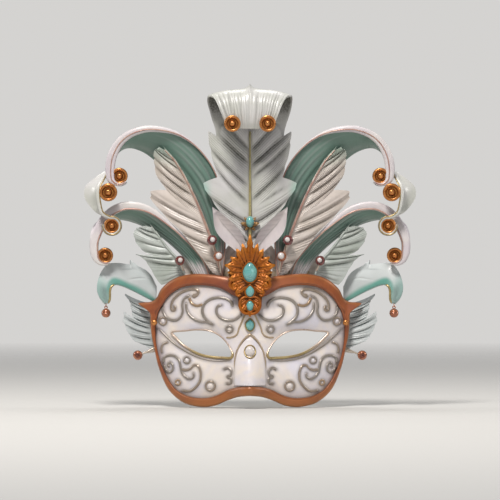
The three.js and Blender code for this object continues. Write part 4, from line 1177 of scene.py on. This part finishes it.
def side_flap():
    """The jester's point: white above, teal along its lower edge and painted in shade towards the tip,
    with a raised vein and one short spike on its upper edge."""
    line = spline(SIDE_FLAP, 220)
    front, back, u, v, normal = ribbon(line[:, :3], line[:, 3:], 1.6, SHEET, columns=57)
    upwards = np.array([-0.25, 0, 0.97])
    vein = 0.5 * bell(v - 0.5 - 0.5 * (u - 0.3) * 3, 0.035) * bell(u - 0.28, 0.1)
    spike = (3.4 * bell(u - 0.35, 0.009) + 2.4 * bell(u - 0.325, 0.024)) * smooth(1 - v * 4)
    front = front - normal * vein[..., None] + upwards * spike[..., None]
    back = back + upwards * spike[..., None]
    lower = smooth((v - 0.7 + 0.16 * smooth((u - 0.4) / 0.3)) / 0.22) * smooth((0.9 - u) / 0.3)
    tail = 0.55 * smooth((u - 0.66) / 0.16)
    tint = np.clip(lower + tail, 0, 1)
    # Painted shade along the lower edge, along a fold and towards the tip.
    fold = bell(v - 0.16 - 0.9 * np.maximum(u - 0.33, 0), 0.03) * bell(u - 0.4, 0.09)
    tail_shade = 0.5 * smooth((u - 0.74) / 0.1) * bell(v - 0.5, 0.3)
    hollow = np.clip(0.3 * bell(v - 1, 0.06) + 0.3 * fold + tail_shade, 0, 1)
    flap = zipped(front, back, recess=(hollow, 0), tint=(tint, 0))
    make_pair("fine_side_flap", [flap], FLAP_LACQUER, "plume_mint", "side_flap")
    edge = line[135:, 3:] + np.array([-0.6, -1.0, 0])
    make_pair("side_flap_edge", [sweep(edge, 0.9 * blunt(len(edge), 0.12))], GILT, "gilt")


def narrow_vane(width):
    """The strip on a quill's other side, as one width all along."""
    return [(0, width, 30), (1, width, 30)]


UPPER_QUILL = [
    (-22, 7, 52), (-26, 7.2, 65), (-30, 7.4, 78.4), (-35.6, 7.4, 93.6), (-42, 8, 109.6),
    (-50.4, 9.2, 127.4), (-60.6, 11.2, 144.6), (-68.6, 13.8, 153.6),
]
LOWER_QUILL = [
    (-52.4, 20, 53), (-57.2, 20, 64), (-63, 20.6, 70.6), (-68.8, 21.4, 77.6), (-74.2, 22.4, 85),
    (-79.6, 23.8, 91.4),
]


def upper_feather():
    """The long cream feather in front of the upper arch, with its rose gilt quill."""
    def teal_tip(points):
        """The topmost barbs turn the arch's own teal."""
        x, z = points[..., 0], points[..., 2]
        return 0.85 * smooth((z - 128 - 0.35 * np.maximum(-48 - x, 0)) / 22)

    upper = feather(UPPER_QUILL, [
        (0, 8, 63), (0.12, 16, 62), (0.24, 31, 55), (0.3, 44, 51), (0.36, 53, 48), (0.4, 51, 46),
        (0.416, 39, 37), (0.5, 43, 38), (0.6, 41, 35), (0.7, 36, 31), (0.8, 28, 29), (0.9, 17, 28),
        (1, 5, 28),
    ], narrow_vane(3), lean=0.27, steps=(400, 52, 6), barbs=56, clumps=10, depth=1.35, fine=0.5,
        seed=3, tint=teal_tip)
    make_pair("fine_upper_feather", [upper], CREAM_LACQUER, "plume_white", "upper_feather")
    quill = spline(UPPER_QUILL, 160) + FRONT * 0.7
    radius = np.linspace(1.35, 0.45, len(quill)) * blunt(len(quill), 0.04)
    make_pair("upper_quill", [sweep(quill, radius)], ROSE_GILT, "gilt")


def lower_feather():
    """The short mint feather in front of the lower arch, with its own quill."""
    lower = feather(LOWER_QUILL, [
        (0, 20.9, 97), (0.08, 25.6, 75), (0.18, 30.4, 65), (0.28, 35.3, 53), (0.33, 33, 49),
        (0.352, 17.5, 50), (0.42, 25.6, 48), (0.52, 28.4, 43), (0.62, 27.4, 38), (0.8, 19, 38),
        (0.92, 11, 38), (1, 4, 38),
    ], narrow_vane(2.4), lean=0.2, steps=(300, 46, 5), barbs=34, clumps=7, depth=1.15, fine=0.45,
        seed=5)
    make_pair("fine_lower_feather", [lower], MINT_LACQUER, "plume_mint", "lower_feather")
    quill = spline(LOWER_QUILL, 120) + FRONT * 0.6
    radius = np.linspace(1.0, 0.4, len(quill)) * blunt(len(quill), 0.05)
    make_pair("lower_quill", [sweep(quill, radius)], MINT_LACQUER, "plume_mint")


def ear_fan():
    """The pale fan of barbs beside the temple."""
    fan = feather([(-75, 34.6, -8), (-78.6, 35.8, 4), (-79, 37.4, 16), (-76.6, 40, 29)], [
        (0, 7, 68), (0.13, 17.2, 74), (0.26, 21.6, 73), (0.39, 25.6, 75), (0.52, 26, 73),
        (0.542, 16, 86), (0.6, 15.6, 90), (0.71, 19, 89), (0.81, 20.4, 91), (0.95, 26, 93),
        (1, 26, 93),
    ], narrow_vane(1), lean=-0.16, bend=24, steps=(280, 44, 5), barbs=26, clumps=9, depth=1.0,
        fine=0.35, seed=9)
    make_pair("fine_ear_fan", [fan], FLAP_LACQUER, "plume_mint", "ear_fan")


# The short leaf's two rails, as the curled strips' are
LEAF = [
    (-6.4, 2.6, 67, -2.2, 2.4, 68.4), (-13, 2, 73.4, -4, 2, 80), (-22.4, 1, 81.6, -8.4, 1, 89),
    (-28, 0, 90, -18, 0, 98.4), (-30.2, -2, 107, -29.4, -2, 107.2),
]


def brow_leaf():
    """The short leaf in front of the plume: a keeled ribbon with a vein and slanting barb ridges."""
    line = spline(LEAF, 130)

    def slanting(u, v):
        return np.abs(np.sin(np.pi * (9 * u + 2.6 * np.abs(v - 0.5))))

    def keel(u, v):
        ridge = 3.6 * (1 - np.abs(2 * v - 1) ** 1.5) * np.sin(np.pi * np.clip(u + 0.1, 0, 1)) ** 0.6
        return ridge + 0.12 * (slanting(u, v) - 0.5)

    front, back, u, v, _ = ribbon(line[:, :3], line[:, 3:], 0.4, 1.6, columns=37, ridges=keel)
    # Painted shade over the leaf's inner half, more in its slanting grooves, and along its vein.
    inner = smooth((v - 0.5) / 0.2)
    vein = 0.4 * bell(v - 0.56, 0.03) * smooth((0.9 - u) / 0.3)
    hollow = np.clip((0.16 * (1 - slanting(u, v)) ** 2 + 0.1) * inner + vein, 0, 1)
    make_pair("fine_brow_leaf", [zipped(front, back, recess=(hollow, hollow))],
              LEAF_LACQUER, "plume_white", "brow_leaf")


# Outline of the brow fan, [x, z]
FAN_EDGE = [
    (-18.8, 45), (-18.8, 53), (-16.6, 58.6), (-11, 60.6), (-9.6, 67), (-10.4, 74), (-13.4, 76.8),
    (-17.6, 76.2), (-22.4, 69), (-31, 72), (-39, 71), (-44.4, 64.4), (-53, 66.4), (-60.6, 61),
    (-61.6, 52), (-48, 46), (-28, 45),
]


def brow_fan():
    """The short feathers behind the brow: rays from their root to the fan's outline, fluted like
    barbs, on the mounting plate's folded back."""
    rim = spline(FAN_EDGE, 300, closed=True)
    root = np.array([-30.0, 54.0])
    share = np.linspace(0, 1, 24)[:, None]
    xz = root + (rim - root)[None] * share[..., None]
    turn = np.unwrap(np.arctan2(rim[:, 1] - root[1], rim[:, 0] - root[0]))[None]
    flute = np.abs(np.sin(16 * turn))
    side = np.abs(xz[..., 0])
    seat = 8.6 + 0.74 * np.clip(side - 16, 0, 21) + 0.4 * np.maximum(0, side - 37) + 2.3
    ridge = 0.5 * flute * share * (1 - share**8)
    front = np.stack([xz[..., 0], seat - ridge, xz[..., 1]], axis=-1)
    back = np.stack([xz[..., 0], seat + 1.6, xz[..., 1]], axis=-1)
    edge = np.stack([front[-1], back[-1]])
    # Painted shade in the flutes' hollows, growing towards the rim.
    shapes = [patch(front, around=True, recess=0.3 * (1 - flute) * share), patch(back, around=True),
              patch(edge, around=True)]
    make_pair("fine_brow_fan", shapes, CREAM_LACQUER, "plume_mint", "brow_fan")


# Rosettes, pins and beads ------------------------------------------------------------------------


def rosette(radius, at):
    """A stamped rosette: a rolled rim, a dish painted in shade, a thin ring and a bright bead at its
    middle.
    """
    r = radius
    profile = [
        (0, 0), (0.7 * r, 0), (0.95 * r, 0.6), (1.02 * r, 1.8), (1.03 * r, 3.0), (0.95 * r, 3.9),
        (0.8 * r, 4.0), (0.68 * r, 3.3), (0.6 * r, 2.4), (0.55 * r, 2.1), (0.5 * r, 2.3),
        (0.46 * r, 2.7), (0.41 * r, 2.5), (0.38 * r, 2.3), (0.37 * r, 3.0), (0.31 * r, 4.0),
        (0.19 * r, 4.8), (0, 5.1),
    ]
    # Painted shade on the back, in the dish and in the groove round the bead; a lighter orange on the
    # thin ring.
    fields = {
        "recess": [(0, 0.5), (0.42, 0.1), (0.5, 0), (0.56, 0.05), (0.62, 0.6), (0.67, 0.7), (0.7, 0.3),
                   (0.73, 0.1), (0.77, 0.85), (0.8, 0.7), (0.86, 0.05), (1, 0)],
        "tint": [(0, 0), (0.66, 0), (0.72, 1), (0.75, 0.2), (0.8, 0), (1, 0)],
    }
    return turned(at, profile, 56, 80, fields=fields)


def rosettes():
    """Every rosette and its mirror image."""
    for name, (radius, at) in ROSETTES.items():
        make_pair(f"fine_{name}_rosette", [rosette(radius, at)], STAMPED_COPPER, "stamped_copper",
                  f"{name}_rosette")


# Each pin's stem, root to ball, and the ball's radius
PINS = {
    "inner": ([(-23.4, 5.8, 55), (-24, 3.4, 62), (-25.3, -1, 67.8)], 4.0),
    "quill": ([(-28.6, 6, 72.4), (-29.4, 4.4, 76), (-30.4, 0, 80.8)], 4.2),
    "outer": ([(-53.4, 18.8, 56.4), (-55, 16.8, 60), (-56.4, 14.4, 64.4)], 4.0),
    "cheek": ([(-77.2, 32.4, -6), (-81.6, 31.6, -8.4), (-86, 31, -10.4), (-90.6, 30.4, -12)], 3.9),
}


def pins():
    """Each pin: a pale wire stem and a ball. All but the cheek pin's hold a pearl in their front, off
    its middle: on the glass balls it stands for a painted highlight, on the inner pin it is a pearl.
    """
    ball = spline([(0, -1), (0.7, -0.72), (1, 0), (0.72, 0.7), (0.4, 0.92), (0.3, 0.88), (0, 0.8)], 40)
    # Painted shade at the back of the ball and in the cup round its front.
    setting = [(0, 0.6), (0.4, 0.1), (0.75, 0), (0.85, 0.8), (1, 1)]
    dot = spline([(0, -1), (0.7, -0.7), (1, 0), (0.7, 0.7), (0, 1)], 24)
    for name, (stem, radius) in PINS.items():
        line = spline(stem, 60)
        tip = line[-1]
        finish = BEAD_COPPER if name in ("cheek", "inner") else ROSE_GLASS
        shapes = [sweep(line, np.linspace(0.95, 0.6, 60), corners=12, tint=1.0),
                  turned(tip, ball * radius, 40, 44, fields={"recess": setting})]
        if name == "cheek":
            cup = spline([(-76, 32.6, -7), (-80, 32, -8.4), (-84, 31.3, -9.9)], 40)
            shapes.append(sweep(cup, np.linspace(2.6, 0.7, 40), flat=0.5, corners=16, tint=1.0))
        make_pair(f"fine_{name}_pin", shapes, finish, "stamped_copper", f"{name}_pin")
        if name != "cheek":
            # The pale pearl, set up and to one side: the quill and outer pins' painted highlight.
            size = (0.68 if name == "inner" else 0.5) * radius
            shift = np.array([0.12, 0, 0.12]) * radius
            pearl = turned(tip + shift + FRONT * 0.72 * radius, dot * size, 32, 26)
            make_pair(f"{name}_pin_pearl", [pearl], PEARL, "pearl")


def plume_gem():
    """The oval stone on the centre quill, with short bronze leaves spread at its sides."""
    stone = cabochon(0, 95.6, 3.5, 4.6, 0.1, 2.2, 4.6)
    make("fine_plume_gem", [stone], TURQUOISE, "turquoise_gem", "plume_gem")
    claws = []
    for side in (1, -1):
        claws.append(leaf(side * 0.5, 92.6, side * 7.6, 94.6, 1.9, 1.2, seat=2.6))
        claws.append(leaf(side * 0.5, 93.6, side * 4.8, 99.4, 1.3, 0.8, seat=2.8))
        claws.append(leaf(side * 0.5, 92, side * 4.2, 88.6, 1.3, 0.8, seat=2.8))
    make("plume_gem_claws", claws, BRONZE, "medallion_brass")


# The hanging bead's profile: a ball with a raised seam round its middle and a small cap on top
BEAD_PROFILE = [
    (0, -BEAD_RADIUS), (1.9, -3.2), (3.3, -1.7), (3.68, -0.2), (3.86, 0.05), (3.68, 0.3),
    (3.2, 1.9), (1.8, 3.25), (1.0, 3.55), (0.8, 3.9), (0, 3.95),
]
# Painted shade on both sides of the seam and at the top, and a little all over.
BEAD_HOLLOWS = [(0, 0.1), (0.4, 0.1), (0.46, 0.6), (0.5, 0.1), (0.54, 0.6), (0.6, 0.1),
                (0.85, 0.2), (1, 0.6)]


def tip_beads():
    """The wire eyes at the flaps' tips, and the copper balls that hang from them by a ring each,
    which stands across its eye."""
    turn = np.linspace(0, 2 * np.pi, 41)
    zero = np.zeros_like(turn)
    across = np.array([1.0, 0, 0])
    eye_ring = TIP_EYE + LOOP_RADIUS * np.stack([zero, np.cos(turn), np.sin(turn)], axis=-1)
    stem = TIP_EYE + spline([(0, 0.2, 1.0), (0, 2.6, 1), (0, 4.2, 2.4), (0, 4.6, 6)], 40)
    link = TIP_EYE - [0, 0, 1.46]
    bead_ring = link + LOOP_RADIUS * np.stack([np.cos(turn), zero, np.sin(turn)], axis=-1)
    ball = link - [0, 0, 4.6]
    for side, sign in ((LEFT, 1), (RIGHT, -1)):
        mirror = np.array([sign, 1, 1])
        wires = [sweep(line * mirror, LOOP_WIRE, up=across, corners=10) for line in (eye_ring, stem)]
        make(f"fine_tip_eye_{side}", wires, BEAD_COPPER, "stamped_copper", f"tip_eye_{side}")
        shapes = [sweep(bead_ring * mirror, LOOP_WIRE, corners=10),
                  turned(ball * mirror, BEAD_PROFILE, axis=(0, 0, 1),
                         fields={"recess": BEAD_HOLLOWS})]
        make(f"fine_tip_bead_{side}", shapes, BEAD_COPPER, "stamped_copper", f"tip_bead_{side}",
             body=f"bead_{side}")


def ribbon_rivets():
    """The stud on each temple: a domed head, a shank through the plate and a burred tail."""
    x, z = RIVET
    front = face_front(x, z) - BAND_RISE - 2.2
    end = face_front(x, z) + WALL + 2.4 - front
    head = [(0, -1.6), (1.2, -1.35), (2.1, -0.7), (2.4, 0.2), (2.2, 0.6), (1.1, 0.7), (1.1, 1.2)]
    tail = [(1.1, end - 1.0), (2.4, end - 0.8), (2.4, end + 0.2), (1.3, end + 1.0), (0, end + 1.2)]
    # Painted shade under the head and over the shank and tail.
    hollows = [(0, 0), (0.1, 0.1), (0.2, 0.7), (1, 0.5)]
    rivet = turned([x, front, z], head + tail, 40, 90, axis=(0, 1, 0), fields={"recess": hollows})
    make_pair("fine_ribbon_rivet", [rivet], STAMPED_COPPER, "stamped_copper", "ribbon_rivet")


# Assembly ----------------------------------------------------------------------------------------


def face():
    """The plate with its border, raised lines, eye trims and nose guard."""
    make("fine_face_shell", face_plate(), PLATE_LACQUER, "shell_white", "face_shell", crease=60)
    make("fine_edge_band", edge_band(), BAND_COPPER, "band_copper", "edge_band", crease=70)
    make_pair("scrollwork", scrollwork(), ANTIQUE_SILVER, "gilt")
    make_pair("scroll_beads", scroll_beads(), PLATE_LACQUER, "shell_white")
    make_pair("fine_eye_trim", eye_trim(), GILT, "gilt", "eye_trim")
    make("fine_nose_guard", nose_guard(), PLATE_LACQUER, "shell_white", "nose_guard", crease=60)
    make("guard_lines", guard_lines(), GILT, "gilt")


def brow_ornament():
    """The medallion with its stones, and the drop stone below it."""
    make("fine_brow_medallion", medallion(), MEDALLION_BRASS, "medallion_brass", "brow_medallion")
    names = ("medallion_gem", "brow_gem_upper", "brow_gem_lower")
    for name, (x, z, rx, rz, point) in zip(names, STONES):
        stone = cabochon(x, z, rx, rz, point, -8.2, 4.0 if rx > 4 else 2.6)
        make(f"fine_{name}", [stone], TURQUOISE, "turquoise_gem", name)
    seat = float(face_front(0.0, 13.0)) - 0.6
    make("fine_drop_gem", [cabochon(0, 13.2, 3.3, 4.5, 0.8, seat, 2.6)], TURQUOISE, "turquoise_gem",
         "drop_gem")
    make("drop_gem_bezel", [bezel(stone_outline(0, 13.2, 3.8, 5.0, 0.8), seat - 0.1)], GILT, "gilt")


def nose_pearl():
    """The pearl on the nose guard and the wire round it, which follows the guard's slope."""
    seat = float(face_front(0.0, -8.4)) - GUARD_RISE - 0.2
    make("fine_nose_pearl", [cabochon(0, -8.0, 3.9, 4.5, 0.1, seat, 3.2)], PEARL, "pearl",
         "nose_pearl")
    ring = stone_outline(0, -8.0, 4.4, 5.0, 0.1)
    depth = face_front(*np.vstack([ring, ring[:2]]).T) - GUARD_RISE - 0.5
    make("nose_pearl_bezel", [bezel(ring, depth, 0.6)], GILT, "gilt")


def plumes():
    """Every plume, feather, leaf and curled strip, with their quills and gilt lines."""
    make("fine_centre_plume", centre_plume(), PLUME_LACQUER, "plume_white", "centre_plume", crease=65)
    make("fine_centre_quill", centre_quill(), QUILL_GILT, "gilt", "centre_quill")
    side_plumes()
    upper_curl()
    side_flap()
    upper_feather()
    lower_feather()
    ear_fan()
    brow_leaf()
    brow_fan()


def finish_hidden_nodes():
    """The lining, pad and plate are the frame's own plain solids in felt and board."""
    for node, finish in (("face_lining", FELT), ("brow_pad", FELT), ("mounting_plate", BOARD)):
        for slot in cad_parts[node].material_slots:
            slot.material = finish


# Stage, in metres --------------------------------------------------------------------------------

FLOOR_HEIGHT = -0.0535  # under the chin, clear of the band's fine lower edge
FLOOR_REACH = 2.6
FLOOR_SIDES = 96
# Each lamp: place, what it points at, diameter, watts and colour
LAMPS = {
    "key": ((-0.25, -0.85, 1.35), (0, 0, 0.06), 0.42, 24, (1.0, 0.97, 0.93)),
    "fill": ((0.9, -1.6, 0.4), (0, 0, 0.06), 0.9, 3, (0.95, 0.97, 1.0)),
    "crown": ((0.0, 0.5, 1.2), (0, 0, 0.1), 0.6, 5, (1.0, 1.0, 1.0)),
    "left_rim": ((-1.1, 0.3, 0.6), (0, 0, 0.08), 0.4, 3.4, (1.0, 0.98, 0.95)),
    "right_rim": ((1.1, 0.3, 0.6), (0, 0, 0.08), 0.4, 3.4, (1.0, 0.98, 0.95)),
}
CAMERA_DISTANCE = 3.2
LENS_PER_METRE = 90  # millimetres of lens for each metre of distance, which sets the framing
VIEW_HEIGHT = 0.073


def paper_finish():
    """Pale matt paper that turns clear towards the floor's rim."""
    paper = bpy.data.materials.new("floor_paper")
    paper.use_nodes = True
    tree = paper.node_tree
    shader = tree.nodes["Principled BSDF"]
    shader.inputs["Roughness"].default_value = 1.0
    shader.inputs["Specular IOR Level"].default_value = 0.1
    place = tree.nodes.new("ShaderNodeTexCoord").outputs["Object"]
    shade = mix_colours(tree, cloud(tree, place, 300, 3), (0.60, 0.59, 0.57, 1), (0.64, 0.63, 0.61, 1))
    tree.links.new(shade, shader.inputs["Base Color"])
    away = tree.nodes.new("ShaderNodeVectorMath")
    away.operation = "LENGTH"
    tree.links.new(place, away.inputs[0])
    clear = spread(tree, away.outputs["Value"], 0.35, 2.3, 1.0, 0.0)
    tree.links.new(clear, shader.inputs["Alpha"])
    return paper


def lay_floor():
    """A round floor: rings whose radii grow by an even ratio."""
    rings = np.concatenate([[0.0], np.geomspace(0.1, FLOOR_REACH, 24)])[:, None]
    turn = np.linspace(0, 2 * np.pi, FLOOR_SIDES, endpoint=False)[None]
    flat = np.stack([rings * np.cos(turn), rings * np.sin(turn)], axis=-1)
    points = np.concatenate([flat, np.full((*flat.shape[:2], 1), FLOOR_HEIGHT)], axis=-1)
    mesh = bpy.data.meshes.new("floor")
    index = np.arange(rings.size * FLOOR_SIDES).reshape(-1, FLOOR_SIDES)
    far = np.roll(index, -1, axis=1)
    quads = np.stack([index[:-1], far[:-1], far[1:], index[1:]], axis=-1).reshape(-1, 4)
    mesh.from_pydata(points.reshape(-1, 3).tolist(), [], quads.tolist())
    floor = bpy.data.objects.new("floor", mesh)
    bpy.context.scene.collection.objects.link(floor)
    mesh.materials.append(paper_finish())


def light_world():
    """A pale surround to look at, which lights the mask only softly."""
    world = bpy.data.worlds.new("studio")
    world.use_nodes = True
    tree = world.node_tree
    seen = tree.nodes["Background"]
    seen.inputs["Color"].default_value = (0.66, 0.65, 0.635, 1)
    seen.inputs["Strength"].default_value = 1.0
    fill = tree.nodes.new("ShaderNodeBackground")
    fill.inputs["Color"].default_value = (0.62, 0.63, 0.66, 1)
    fill.inputs["Strength"].default_value = 0.17
    path = tree.nodes.new("ShaderNodeLightPath")
    pick = tree.nodes.new("ShaderNodeMixShader")
    tree.links.new(path.outputs["Is Camera Ray"], pick.inputs[0])
    tree.links.new(fill.outputs[0], pick.inputs[1])
    tree.links.new(seen.outputs[0], pick.inputs[2])
    tree.links.new(pick.outputs[0], tree.nodes["World Output"].inputs[0])
    bpy.context.scene.world = world


def aimed(name, data, place, target):
    """A lamp or camera that stands at a place with its -Z towards the target."""
    thing = bpy.data.objects.new(name, data)
    thing.location = place
    thing.rotation_euler = (Vector(target) - Vector(place)).to_track_quat("-Z", "Y").to_euler()
    bpy.context.scene.collection.objects.link(thing)
    return thing


def hang_lamps():
    """Round soft lamps."""
    for name, (place, target, size, power, colour) in LAMPS.items():
        data = bpy.data.lights.new(name, "AREA")
        data.shape, data.size, data.energy, data.color = "DISK", size, power, colour
        aimed(name, data, place, target)


def set_camera():
    """A long lens far away, level with the mask's middle."""
    lens = bpy.data.cameras.new("camera")
    lens.sensor_width, lens.lens = 36, LENS_PER_METRE * CAMERA_DISTANCE
    camera = aimed("camera", lens, (0, -CAMERA_DISTANCE, VIEW_HEIGHT), (0, 0, VIEW_HEIGHT))
    bpy.context.scene.camera = camera
    bpy.context.scene.view_settings.view_transform = "Standard"


face()
brow_ornament()
nose_pearl()
plumes()
rosettes()
pins()
plume_gem()
tip_beads()
ribbon_rivets()
finish_hidden_nodes()

lay_floor()
light_world()
hang_lamps()
set_camera()
